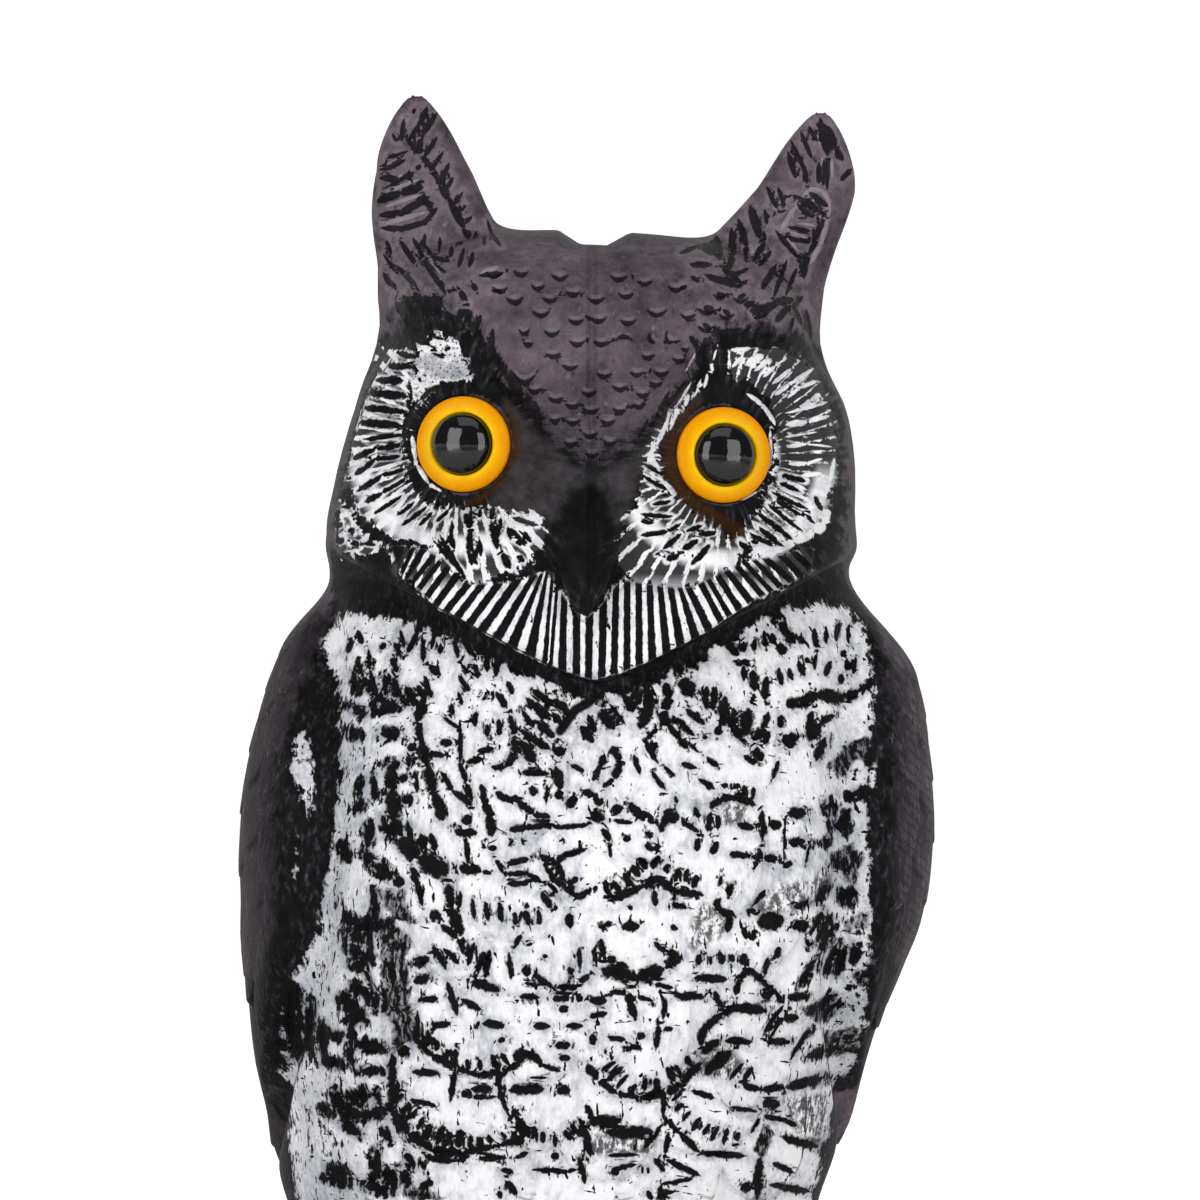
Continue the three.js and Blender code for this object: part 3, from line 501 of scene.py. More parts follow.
def settled(points):
    """The points moved onto the figure's surface in two rounds, with the field's slope there."""
    h = 0.4
    p = points.copy()
    for _ in range(2):
        f, rise = rise_over(p, h)
        g = rise / h
        move = np.clip(f / np.maximum((g * g).sum(1), 0.3), -2, 2)
        p -= g * move[:, None]
    return p, g


def slope_at(points):
    """The unit normals of the figure's surface."""
    _, rise = rise_over(points, 0.6)
    return rise / np.maximum(np.linalg.norm(rise, axis=1), 1e-9)[:, None]


# The photograph's view. Places on the front are given in its pixels, counted from its top left corner.
VIEW_DISTANCE = 1.4
VIEW_AIM = (0.0005, 0.2698)
LENS, SENSOR = 154.0, 36.0
ROLL = math.radians(2.4)
FRAME_PIXELS = 1200
FRAME_MIDDLE = FRAME_PIXELS / 2


def photo_place(x, y, z):
    """Where points show in the photograph."""
    scale = LENS / SENSOR * FRAME_PIXELS / (VIEW_DISTANCE + y * UNIT)
    across = (x * UNIT - VIEW_AIM[0]) * scale
    down = (VIEW_AIM[1] - z * UNIT) * scale
    turned = across * math.cos(ROLL) - down * math.sin(ROLL)
    return FRAME_MIDDLE + turned, FRAME_MIDDLE + across * math.sin(ROLL) + down * math.cos(ROLL)


def pairs(numbers):
    return np.array(numbers, float).reshape(-1, 2)


def stroke_rows(table):
    """Strokes of one width after another, each as its beginning, its run and its width."""
    return [(*row, width) for width, numbers in table.items() for row in np.array(numbers).reshape(-1, 4)]


def to_segment(px, py, ax, ay, bx, by):
    """The distance from the straight line between two places."""
    dx, dy = bx - ax, by - ay
    t = np.clip(((px - ax) * dx + (py - ay) * dy) / (dx * dx + dy * dy + 1e-9), 0, 1)
    return np.hypot(px - ax - dx * t, py - ay - dy * t)


FAR_OUT = -60.0
# What a place with no stroke or crescent near it gets. The last number is a distance in pixels.
NO_STROKE = (9.0, 0.5, 30.0)
NO_NICK = (2.0, 20.0, 30.0)
STROKE_REACH = 16
NICK_WIDENING = 1.12


def inside(px, py, outline):
    """How far points lie inside an outline, in pixels, and below zero outside it."""
    corners = pairs(outline)
    nearest = np.full(px.shape, 1e9)
    within = np.zeros(px.shape, bool)
    for (ax, ay), (bx, by) in zip(corners, np.roll(corners, -1, axis=0)):
        nearest = np.minimum(nearest, to_segment(px, py, ax, ay, bx, by))
        if ay != by:
            within ^= ((ay > py) != (by > py)) & (px < ax + (bx - ax) * (py - ay) / (by - ay))
    return np.where(within, nearest, -nearest)


def deepest(px, py, outlines):
    """How far points lie inside any of the outlines, down to FAR_OUT outside them."""
    depth = np.full(px.shape, FAR_OUT)
    for outline in outlines:
        depth = np.maximum(depth, inside(px, py, outline))
    return depth


def near_polyline(px, py, line):
    """The distance from a line through places."""
    places = pairs(line)
    return np.min([to_segment(px, py, *a, *b) for a, b in zip(places, places[1:])], axis=0)


def nearest_stroke(px, py, strokes):
    """The nearest stroke: the place across it in half widths, the share along it, the distance outside."""
    side = np.full(px.shape, NO_STROKE[0])
    along = np.full(px.shape, NO_STROKE[1])
    outside = np.full(px.shape, NO_STROKE[2])
    for ax, ay, dx, dy, width in strokes:
        reach = STROKE_REACH + width
        bx, by = ax + dx, ay + dy
        near = np.nonzero(
            (px > min(ax, bx) - reach) & (px < max(ax, bx) + reach)
            & (py > min(ay, by) - reach) & (py < max(ay, by) + reach)
        )[0]
        length = math.hypot(dx, dy) + 0.01
        u, v = px[near] - ax, py[near] - ay
        share = (u * dx + v * dy) / length**2
        aside = (u * dy - v * dx) / length
        clamped = np.clip(share, 0, 1)
        away = np.hypot(u - dx * clamped, v - dy * clamped) - width / 2
        mine = away < outside[near]
        chosen = near[mine]
        side[chosen] = 2 * aside[mine] / width
        along[chosen] = share[mine]
        outside[chosen] = away[mine]
    return np.stack([side, along, outside], 1)


def nearest_nick(px, py):
    """The nearest crescent: the share across it, the distance below its curve, the distance from it."""
    across = np.full(px.shape, NO_NICK[0])
    below = np.full(px.shape, NO_NICK[1])
    away = np.full(px.shape, NO_NICK[2])
    for x, y, half, *rest in NICKS:
        sag, tilt = rest or (1, 0)
        half = half * NICK_WIDENING
        near = np.nonzero((np.abs(px - x) < half + 16) & (np.abs(py - y) < 18 + abs(sag) * 3))[0]
        c, s = math.cos(math.radians(tilt)), math.sin(math.radians(tilt))
        u = ((px[near] - x) * c + (py[near] - y) * s) / half
        v = (py[near] - y) * c - (px[near] - x) * s
        v = v - sag * half * 0.55 * (1 - np.minimum(u * u, 1))
        far = np.hypot(v, np.maximum(np.abs(u) - 1, 0) * half)
        mine = far < away[near]
        chosen = near[mine]
        across[chosen] = np.clip(u[mine], -2, 2)
        below[chosen] = v[mine]
        away[chosen] = far[mine]
    return np.stack([across, below, away], 1)


def fan_phase(px, py, lines):
    """Which of the lines, from the left, passes through each point, running on evenly between them."""
    ends = np.array(lines, float).reshape(-1, 4)
    dx, dy = ends[:, 2] - ends[:, 0], ends[:, 3] - ends[:, 1]
    length = np.hypot(dx, dy)
    side = np.stack([
        ((px - ax) * y - (py - ay) * x) / n
        for (ax, ay, _, _), x, y, n in zip(ends, dx, dy, length)
    ])
    phase = np.full(px.shape, -1.0)
    for n in range(len(ends) - 1):
        between = (side[n] >= 0) & (side[n + 1] < 0)
        share = side[n] / np.maximum(side[n] - side[n + 1], 1e-6)
        phase = np.where(between, n + share, phase)
    return np.where(side[-1] >= 0, len(ends) - 1 + side[-1] / 12, phase)


# Where white paint lies, and where glints are painted in white. All outlines and lines are places in the
# photograph, across and down.
WHITE = [
    [  # the disc and the cheek round the owl's right eye
        374,346, 395,350, 414,354, 413,372, 408,392, 406,410, 405,430, 404,450, 405,470, 410,486, 424,500,
        440,506, 463,509, 490,507, 515,512, 545,518, 541,540, 533,558, 518,572, 495,577, 470,585, 455,574,
        440,559, 421,545, 395,540, 372,527, 356,508, 349,480, 349,440, 357,405, 368,375,
    ],
    [  # its eyelid
        417,350, 424,343, 437,331, 447,338, 455,343, 461,353, 466,368, 474,383, 460,380, 440,384, 425,395,
        414,408, 411,395, 414,370,
    ],
    [  # the disc round the owl's left eye
        730,352, 745,345, 765,350, 790,355, 812,368, 822,385, 832,410, 836,440, 836,470, 828,500, 826,518,
        810,533, 785,547, 760,555, 738,550, 727,540, 745,530, 755,515, 765,500, 775,480, 780,450, 777,420,
        768,395, 750,378, 728,372,
    ],
    [  # its cheek
        662,425, 657,455, 660,470, 664,490, 677,497, 690,507, 712,525, 738,546, 735,562, 705,575, 680,588,
        667,586, 640,580, 625,575, 620,560, 622,535, 628,520, 640,500, 643,480, 645,463, 652,440,
    ],
    [  # the bib
        390,545, 425,549, 455,573, 470,585, 510,583, 530,577, 548,572, 560,592, 575,612, 587,618, 600,607,
        612,592, 620,581, 650,585, 668,588, 690,588, 715,577, 745,562, 780,556, 812,548, 812,568, 795,580,
        754,600, 700,636, 650,661, 619,673, 593,680, 554,668, 520,652, 490,636, 462,620, 440,610, 420,590,
        400,573,
    ],
    [  # the breast
        322,640, 345,616, 375,620, 400,622, 430,630, 452,640, 480,652, 520,672, 548,684, 566,695, 585,702,
        600,698, 640,690, 680,670, 720,645, 760,622, 790,612, 815,606, 850,612, 866,640, 870,690, 868,753,
        872,868, 874,944, 868,1021, 858,1059, 838,1109, 820,1166, 812,1260, 795,1340, 760,1420, 715,1475,
        470,1475, 390,1430, 330,1340, 305,1260, 290,1174, 274,1080, 275,1020, 287,985, 313,937, 328,849,
        336,791, 338,700,
    ],
    # Painted glints on the wings: this outline, the next one and the last one.
    [  # glints on the wings
        290,735, 304,728, 316,745, 319,790, 311,826, 298,800, 288,775,
    ],
    [291,842, 300,846, 300,886, 291,880],
    [332,500, 345,500, 360,520, 378,545, 372,556, 345,558, 331,545],
    # A painted glint on the owl's left wing.
    [865,764, 876,760, 881,780, 872,802],
]

# Where the purple-brown topcoat lies in front. It covers all that faces aside or back as well.
TOPCOAT = [
    [
        330,70, 890,70, 890,345, 835,352, 812,347, 795,330, 765,326, 735,330, 713,338, 698,365, 682,392,
        655,420, 630,442, 610,456, 595,462, 578,456, 564,446, 548,430, 530,408, 512,384, 495,356, 480,335,
        462,322, 440,308, 418,302, 402,308, 388,335, 372,352, 330,352,
    ],
    [
        330,585, 300,620, 262,680, 230,760, 230,900, 235,990, 258,975, 270,930, 276,880, 270,820, 276,760,
        296,700, 318,650, 333,620,
    ],
    [884,610, 915,640, 950,760, 950,850, 930,945, 898,960, 898,900, 895,850, 897,760, 890,680],
    [826,340, 870,350, 870,580, 846,575, 846,520, 846,450, 842,400],
    [372,352, 330,352, 310,560, 332,540, 338,500, 340,450, 350,400],
]

# The grey dusk round the beak, the brown beside it, and the crease under the bib.
DIM = [
    505,400, 545,440, 572,466, 600,474, 625,460, 655,430, 690,385, 702,398, 670,430, 645,470, 622,525,
    612,500, 590,480, 570,492, 552,525, 540,534, 512,514, 488,504, 500,482, 518,450,
]
BROWN = [
    [505,398, 520,425, 522,450, 505,482, 480,503, 463,506, 490,485, 508,455, 510,425],
    [
        700,400, 680,415, 667,440, 663,465, 672,490, 700,515, 738,538, 745,530, 705,503, 686,480, 678,450,
        683,425,
    ],
]
CREASE = [598,694, 588,703, 575,710, 560,731]

# The bib's stripes, each from its upper to its lower end.
BIB_STRIPES = [
    403,552,396,568, 411,553,402,573, 419,556,408,575, 428,564,411,584, 437,565,416,592, 445,572,426,598,
    453,580,431,612, 464,590,441,617, 475,593,453,622, 491,594,467,627, 509,592,480,632, 526,590,495,642,
    537,586,511,647, 545,582,532,650, 552,587,547,658, 556,594,549,664, 563,610,562,668, 577,615,577,672,
    589,620,588,676, 604,592,602,676, 616,592,614,672, 627,590,627,670, 639,592,639,660, 650,590,652,658,
    661,594,666,648, 672,596,679,640, 684,598,694,632, 692,598,706,624, 708,594,719,616, 715,592,728,614,
    727,590,738,608, 737,584,748,598, 748,578,760,592, 758,577,770,590, 766,572,781,588, 777,569,792,581,
    790,565,803,579,
]


# The brush strokes, by their width in pixels: where each begins, and how far it runs across and down. A
# few pale ones are a painted reflection instead.
DARK_STROKES = {
    2: [
        655,555,7,-4, 786,814,-2,48, 426,343,10,6, 391,155,-8,11, 383,189,14,-8, 443,290,15,0,
        774,214,12,-4, 792,252,18,9, 798,218,11,0,
    ],
    3: [
        420,545,8,4, 688,741,11,11, 731,783,1,7, 483,843,1,6, 756,864,-2,6, 846,814,-1,18, 811,843,-5,21,
        530,1078,17,0, 790,1007,-23,37, 467,317,14,29, 475,325,18,36, 487,339,17,39, 498,360,17,36,
        512,382,15,35, 729,331,-16,21, 705,371,-14,21, 648,419,-10,22, 463,309,-2,10, 471,311,-2,10,
        473,282,4,10, 430,335,14,4, 418,378,3,4, 432,353,12,5, 444,351,6,-4, 432,537,25,33, 415,108,-2,5,
        463,192,-9,12, 466,205,-5,6, 472,216,-6,7, 477,231,-4,8, 484,236,0,9, 488,220,5,19, 490,232,11,14,
        392,133,4,8, 408,151,-21,7, 403,158,-14,11, 409,173,2,7, 425,234,-2,13, 425,245,7,10,
        440,237,-1,15, 456,243,7,0, 383,254,12,18, 394,283,2,8, 471,280,7,14, 491,290,10,0, 433,263,13,9,
        785,234,14,7, 794,317,-4,17, 690,335,6,11,
    ],
    4: [
        406,434,-42,5, 405,469,-23,6, 406,478,-23,14, 402,495,-29,19, 414,502,-17,13, 427,506,-25,19,
        432,512,-13,13, 449,509,-13,12, 357,512,-6,4, 392,544,-9,2, 392,543,17,-2, 409,541,11,4,
        452,521,-1,13, 451,534,3,15, 480,509,-1,8, 511,528,15,18, 524,531,7,11, 780,483,21,9,
        772,492,36,17, 775,500,28,16, 806,514,8,9, 750,533,23,13, 751,541,8,1, 643,463,18,11,
        644,476,23,14, 653,504,18,-3, 641,514,31,2, 641,521,14,1, 668,531,13,-8, 686,531,16,-6,
        744,560,1,5, 368,649,1,20, 357,660,5,16, 362,676,13,18, 400,630,4,18, 434,635,-3,14, 461,664,8,9,
        437,664,1,14, 458,692,4,13, 443,717,16,11, 416,774,1,18, 407,756,2,11, 364,780,-6,12,
        364,801,-6,9, 547,785,-1,18, 610,704,15,20, 826,630,1,14, 849,624,0,19, 816,655,-1,15,
        856,657,-3,17, 655,729,-10,12, 664,766,11,10, 724,783,1,5, 738,783,-1,6, 675,796,2,7,
        363,969,7,13, 351,984,0,9, 359,984,-1,11, 481,871,10,2, 496,860,7,13, 460,891,-1,17, 548,936,2,1,
        525,983,14,3, 609,841,2,17, 616,822,17,0, 823,843,5,-4, 628,908,5,0, 722,875,-2,10, 853,890,-2,11,
        840,893,2,8, 711,956,0,9, 352,1094,3,9, 488,1135,4,8, 501,1132,4,9, 473,1098,23,-1,
        515,1158,13,-5, 385,1168,0,13, 278,1022,15,0, 298,990,1,63, 628,1075,-12,13, 682,1093,-10,8,
        691,1111,-9,11, 761,1118,-10,15, 608,1156,29,-1, 560,1173,17,-3, 619,1167,18,-2, 658,1185,36,-6,
        663,1194,12,-2, 718,328,-22,32, 686,382,-22,32, 669,392,-16,33, 480,317,-4,10, 493,329,-2,18,
        482,337,3,29, 503,358,-2,18, 536,402,4,25, 461,290,5,9, 440,280,3,8, 435,296,7,6, 489,368,4,14,
        499,382,9,16, 332,560,4,-4, 363,543,12,2, 385,545,31,-2, 452,521,-2,24, 469,541,8,25,
        479,537,2,19, 440,535,25,45, 508,527,2,10, 516,541,6,4, 404,119,-3,20, 419,124,-10,16,
        405,137,19,21, 419,152,17,21, 432,166,11,26, 437,137,-13,20, 443,152,-13,19, 449,163,-8,20,
        453,177,-7,13, 421,165,-5,4, 379,170,24,-8, 389,186,24,-14, 416,184,8,-3, 422,225,15,-17,
        386,241,5,14, 413,238,11,20, 452,246,-2,11, 464,248,-6,19, 473,252,-4,15, 479,275,24,-3,
        457,286,10,15, 432,293,11,11, 459,309,0,11, 481,315,-7,11, 431,256,19,5, 809,126,9,16,
        801,132,11,26, 791,141,16,33, 804,167,3,16, 828,153,-1,36, 767,187,10,22, 778,188,7,18,
        789,195,1,2, 765,210,2,14, 746,239,0,23, 771,251,-12,15, 787,260,-13,37, 797,268,-11,27,
        803,296,-11,13, 788,227,22,4, 790,239,24,3, 776,231,22,27, 816,245,-7,7, 680,253,18,-7,
        691,276,9,5, 680,288,7,-3, 729,276,20,-8, 735,287,13,-7, 738,297,8,-3, 744,305,11,-3, 717,293,9,2,
        723,309,8,6, 703,323,8,5, 754,318,14,-4, 795,307,7,18,
    ],
    5: [
        404,444,-28,4, 400,456,-24,2, 352,503,-7,5, 372,528,-10,4, 468,553,4,12, 479,539,2,17,
        517,556,7,6, 512,517,26,8, 782,475,24,6, 768,504,33,26, 759,527,23,19, 641,535,27,-4,
        663,549,18,-15, 699,534,17,-2, 369,669,8,30, 352,671,6,21, 379,648,7,-4, 394,642,6,14,
        418,630,-10,22, 422,637,1,25, 441,645,-2,8, 454,639,4,19, 465,644,11,13, 474,664,4,14,
        499,653,-3,23, 513,664,5,12, 429,664,7,12, 424,676,7,21, 405,698,1,8, 385,674,0,22, 451,703,1,12,
        522,710,9,16, 552,712,13,16, 487,724,0,13, 460,728,0,36, 460,764,6,19, 374,776,-2,23,
        570,764,14,7, 744,641,0,11, 755,639,0,11, 764,631,2,15, 845,650,-2,7, 744,665,0,16, 789,668,4,12,
        807,657,2,6, 849,661,-2,9, 779,761,-6,17, 645,742,13,21, 634,755,6,19, 601,766,-8,15,
        614,779,-11,8, 652,772,13,17, 679,739,9,9, 699,779,17,10, 705,735,1,4, 744,785,1,11,
        754,787,-1,11, 695,807,4,11, 409,825,2,22, 417,884,5,21, 369,921,2,43, 376,993,-1,17,
        384,989,1,23, 466,838,2,26, 553,828,36,-3, 524,840,0,2, 561,839,1,2, 544,865,15,19, 507,874,19,-1,
        526,873,16,9, 548,884,9,9, 538,910,2,15, 472,899,2,20, 521,936,-6,11, 509,952,2,28, 579,947,1,22,
        569,967,2,8, 559,1009,9,2, 623,839,8,0, 645,832,8,5, 645,845,9,5, 654,850,5,-6, 679,819,20,13,
        718,814,0,16, 761,850,-4,12, 783,867,10,-4, 594,891,3,-5, 605,880,3,15, 670,926,8,3,
        654,942,10,10, 599,928,13,-6, 594,947,2,17, 610,967,17,-3, 732,884,-2,13, 766,890,-11,14,
        832,928,-11,24, 838,943,-13,30, 843,951,-7,22, 743,927,4,12, 755,928,-2,13, 807,939,3,8,
        732,954,1,8, 768,958,-3,17, 654,984,19,4, 638,997,15,4, 610,992,17,1, 666,999,-3,20,
        832,995,-15,13, 836,1004,-13,13, 447,1049,-1,12, 455,1049,0,21, 467,1059,1,11, 479,1059,2,13,
        501,1053,7,12, 498,1042,7,-4, 542,1065,19,7, 351,1019,-1,44, 363,1089,2,14, 377,1093,2,12,
        323,1024,0,37, 417,1011,0,29, 417,1110,-10,10, 423,1117,-6,13, 471,1135,-1,14, 480,1137,1,10,
        410,1100,26,6, 500,1089,6,22, 519,1109,-11,12, 543,1132,0,11, 554,1135,2,12, 565,1130,5,11,
        501,1170,12,2, 532,1170,36,2, 383,1130,8,13, 421,1162,4,8, 324,1107,7,9, 329,1168,16,4,
        498,1191,3,8, 310,1001,0,50, 608,1037,17,3, 626,1051,10,-6, 604,1052,3,0, 664,1029,9,0,
        616,1062,-14,9, 636,1084,-6,11, 646,1078,-2,13, 675,1065,7,11, 617,1094,23,5, 744,1063,-14,17,
        784,1005,-21,31, 811,1028,-20,31, 731,1108,26,4, 763,1116,23,4, 786,1120,11,6, 684,1104,-9,6,
        701,1117,-9,14, 711,1124,-8,11, 719,1126,-7,15, 728,1128,-4,17, 667,1120,12,12, 664,1093,0,27,
        669,1132,-4,23, 644,1149,19,-25, 571,1124,8,11, 585,1105,8,11, 654,1158,11,14, 648,1191,4,9,
        690,336,7,10, 697,346,5,25, 704,339,5,30, 459,291,6,9, 472,283,5,7, 722,268,22,16, 493,347,0,21,
        510,370,4,24, 518,378,2,24, 528,394,4,25, 420,400,8,-10, 473,388,12,12, 345,507,7,-4,
        334,515,6,-4, 334,529,8,-6, 371,535,13,2, 348,529,6,4, 350,543,9,2, 342,558,8,-5, 357,556,10,4,
        471,509,-2,32, 493,504,-2,17, 501,517,-6,26, 427,107,-8,19, 437,113,-15,22, 461,221,8,18,
        379,178,16,-1, 381,228,25,1, 397,230,32,-9, 400,241,17,25, 418,250,27,43, 397,266,20,21,
        383,273,8,13, 467,309,1,13, 788,152,8,26, 819,163,0,20, 841,180,11,-11, 766,238,-13,24,
        797,204,17,13, 806,309,5,30,
    ],
    6: [
        416,357,-20,-5, 376,448,-25,11, 376,458,-22,17, 382,475,-25,16, 383,492,-19,10, 385,536,-12,3,
        434,541,31,35, 470,528,-1,25, 758,513,34,26, 740,541,10,10, 815,496,7,15, 683,549,15,-10,
        692,565,18,-21, 351,637,-4,16, 357,630,5,14, 486,651,1,21, 522,665,7,11, 391,658,6,14,
        459,676,10,15, 483,697,3,2, 507,681,6,13, 588,715,8,16, 475,712,0,14, 499,719,0,16, 477,751,16,-3,
        468,762,14,-4, 491,767,17,0, 429,753,15,2, 466,783,6,18, 441,772,11,18, 522,772,28,1,
        481,785,4,14, 508,801,10,-5, 534,814,16,3, 668,726,13,11, 690,655,5,13, 734,635,6,0, 801,635,2,9,
        815,628,2,20, 840,622,-4,19, 736,664,13,-2, 779,668,3,17, 799,661,6,15, 832,661,-7,15,
        867,685,-9,7, 716,687,-3,24, 686,709,19,15, 676,717,18,18, 769,711,-5,17, 782,715,-2,13,
        769,731,-5,13, 744,755,14,10, 851,796,11,-5, 657,742,-6,8, 682,763,15,5, 707,757,11,9,
        382,816,6,20, 421,834,2,15, 411,864,6,20, 374,891,2,34, 368,991,-1,15, 529,827,24,-2, 510,842,2,2,
        507,863,22,-4, 539,855,13,6, 555,860,9,18, 557,858,30,-10, 507,884,22,-1, 515,912,0,13,
        485,902,3,19, 499,902,3,21, 461,936,2,18, 433,947,13,22, 444,949,15,15, 474,943,-6,22,
        482,952,-4,23, 490,951,-5,27, 418,1000,20,-2, 447,982,10,33, 461,999,20,11, 529,943,1,3,
        545,954,0,4, 531,973,22,15, 557,988,20,0, 576,999,7,-1, 579,982,10,-7, 603,828,6,13,
        644,812,11,11, 711,812,-3,20, 699,838,-2,13, 762,810,1,31, 729,854,22,2, 613,880,8,13,
        670,864,-6,7, 680,867,-6,15, 688,869,-3,13, 654,891,2,15, 672,904,14,4, 601,939,2,17, 607,958,9,2,
        795,908,13,-6, 827,886,-10,16, 823,912,-7,16, 829,919,-12,24, 854,947,-1,11, 701,954,-3,11,
        751,967,-11,13, 740,980,-4,15, 749,969,15,13, 764,982,18,17, 714,991,9,17, 590,1017,17,-4,
        449,990,8,25, 433,1025,17,-1, 559,1058,11,0, 437,1040,-1,11, 454,1068,25,8, 479,1076,26,-4,
        331,1035,12,1, 461,1153,39,-8, 404,1094,-10,7, 451,1132,-6,15, 455,1070,-5,31, 498,1067,2,22,
        523,1118,-7,14, 535,1126,-2,13, 479,1159,26,-1, 276,1105,11,17, 566,1026,17,0, 659,1024,-3,27,
        623,1067,-16,12, 686,1056,6,11, 753,1067,-9,13, 692,1091,23,7, 739,1132,-2,9, 700,1154,47,2,
        579,1158,6,25, 641,1170,3,0, 667,1160,33,16, 659,1187,6,13, 773,1163,22,10, 428,390,16,-5,
        444,385,17,-2, 461,383,12,5, 357,517,8,4, 336,543,8,-4, 503,553,7,15, 439,185,15,21,
        420,139,-1,14, 423,197,9,11, 837,149,6,11, 738,219,9,28, 731,228,3,28, 735,249,-7,22,
        776,265,-14,24, 806,256,-2,22, 809,192,19,15, 796,196,31,19, 824,220,-11,22, 690,264,22,0,
        704,307,10,2, 789,306,-13,16, 743,334,41,6,
    ],
    7: [
        413,367,-27,-2, 406,412,-44,-5, 365,521,-10,2, 465,513,5,15, 491,520,6,29, 502,555,8,14,
        667,560,12,-5, 417,685,8,16, 409,689,5,17, 393,676,4,22, 496,692,11,16, 533,690,19,15,
        509,714,6,21, 439,742,13,1, 391,764,9,-1, 397,779,11,-2, 452,790,20,15, 532,785,2,11,
        496,792,12,9, 582,790,17,9, 634,689,6,15, 701,655,6,6, 772,633,3,11, 707,687,-1,22, 735,709,-3,19,
        764,728,-11,12, 834,715,-13,7, 821,722,-9,19, 604,754,-3,12, 710,809,9,-9, 719,800,15,-3,
        734,797,22,8, 363,853,9,5, 431,834,4,17, 493,845,0,6, 509,830,20,-3, 559,880,17,17, 568,886,9,-9,
        577,899,12,-9, 542,893,10,15, 525,910,4,15, 441,925,16,13, 520,997,19,1, 552,999,16,0,
        668,812,-8,20, 718,841,-6,13, 738,824,17,4, 834,825,13,2, 623,873,9,13, 632,865,8,12,
        639,858,8,11, 660,856,-7,13, 697,875,-4,13, 719,912,15,2, 732,914,-5,18, 716,899,3,11,
        747,914,9,-4, 779,947,-1,11, 720,952,3,12, 816,960,-17,26, 533,1026,17,0, 555,1046,15,-1,
        428,1030,-1,17, 491,1055,7,13, 433,1057,21,11, 505,1072,12,-9, 333,1063,7,1, 362,1071,18,0,
        335,1093,8,16, 500,1145,24,-4, 411,1105,-11,9, 413,1072,25,2, 402,1049,6,4, 461,1093,8,1,
        527,1126,-6,15, 513,1132,4,9, 427,1158,27,3, 551,1157,8,-1, 406,1153,8,15, 393,1170,1,21,
        343,1124,17,11, 327,1178,20,5, 419,1189,14,-8, 366,1187,19,4, 505,1181,12,14, 274,1059,11,2,
        292,990,1,67, 560,999,9,0, 592,1034,2,11, 627,994,5,7, 632,1001,3,19, 637,1036,8,0, 655,1078,4,15,
        667,1067,8,15, 598,1080,19,14, 767,1042,23,0, 807,1057,21,-8, 742,1084,19,6, 761,1090,25,-2,
        679,1132,21,21, 583,1122,8,36, 770,1185,41,7, 449,198,15,30, 395,194,28,-7, 380,215,24,-2,
        397,215,32,-18, 396,302,13,18, 820,118,8,37, 706,275,31,9, 772,303,22,-4,
    ],
    8: [
        403,381,-27,-1, 409,397,-42,-5, 403,426,-46,-4, 527,699,23,20, 536,721,18,16, 520,730,30,19,
        581,726,12,16, 515,735,0,18, 515,753,-9,14, 410,743,3,8, 352,707,11,6, 417,721,3,21,
        518,801,16,13, 561,789,-3,10, 644,687,8,13, 670,698,-7,13, 753,670,2,21, 751,698,4,2,
        767,676,-2,24, 838,679,7,0, 719,726,0,9, 733,728,14,14, 756,748,6,13, 827,737,-11,24,
        612,746,9,15, 621,761,-7,18, 368,827,2,14, 343,847,3,9, 350,919,11,5, 349,934,13,5, 349,949,14,5,
        351,964,13,5, 454,830,23,3, 569,914,1,14, 764,858,13,0, 789,843,16,-2, 660,878,13,13,
        673,891,30,4, 671,949,6,11, 674,996,32,1, 788,998,20,-2, 629,993,5,24, 590,1000,17,1,
        483,1024,21,1, 412,1036,21,21, 392,1053,0,56, 343,1109,21,7, 364,1116,28,-7, 431,1151,30,2,
        430,1124,-4,15, 443,1126,-7,19, 404,1170,4,17, 377,1149,-2,30, 640,1099,27,-6, 682,1084,20,-21,
        703,1030,25,-19, 719,1040,-17,13, 725,1041,26,1, 782,1137,36,10, 676,448,8,11, 377,201,24,-9,
        750,206,10,32, 716,236,4,24, 750,311,27,-6, 712,335,37,-4,
    ],
    9: [
        554,699,16,15, 351,733,6,2, 556,767,5,22, 574,796,-6,12, 561,746,-3,10, 666,683,4,15,
        727,641,11,14, 780,622,15,21, 779,643,7,11, 725,696,-2,30, 790,737,1,11, 812,711,-2,30,
        594,800,9,3, 629,802,16,18, 389,878,15,6, 467,814,-1,11, 459,868,22,3, 413,965,16,-7,
        413,982,16,-4, 472,982,26,9, 522,969,9,4, 590,814,15,5, 770,825,12,0, 608,901,37,-15,
        645,886,15,-8, 664,969,18,-13, 745,954,-3,11, 694,978,34,2, 723,1015,13,-9, 736,1006,30,6,
        762,995,11,0, 526,1051,16,12, 461,1130,-3,18, 395,1086,5,0, 471,1089,21,0, 461,1153,2,9,
        281,1040,0,5, 587,1065,11,15, 667,1093,15,-9, 701,1045,2,-17, 784,1018,15,0, 786,1088,38,-10,
        761,1158,-4,42, 403,296,17,21, 414,293,18,21, 424,296,20,21, 405,317,18,12, 438,311,27,18,
        826,126,9,22, 702,245,15,8, 718,343,59,-2,
    ],
    10: [
        402,801,11,-2, 422,699,-5,22, 420,742,7,25, 484,803,7,14, 625,696,8,15, 614,805,6,8, 489,810,3,26,
        429,916,12,-1, 448,884,3,22, 623,926,16,0, 360,1046,23,1, 509,1090,35,-1, 557,1091,13,-1,
        730,1007,37,4, 612,1169,7,5, 742,1185,9,6, 426,320,27,10,
    ],
    11: [
        521,740,13,22, 381,733,19,0, 427,767,7,25, 434,792,9,28, 390,765,1,24, 601,709,13,20,
        652,700,-12,28, 663,711,5,15, 786,702,13,2, 799,704,18,-10, 845,699,13,-8, 827,805,2,4,
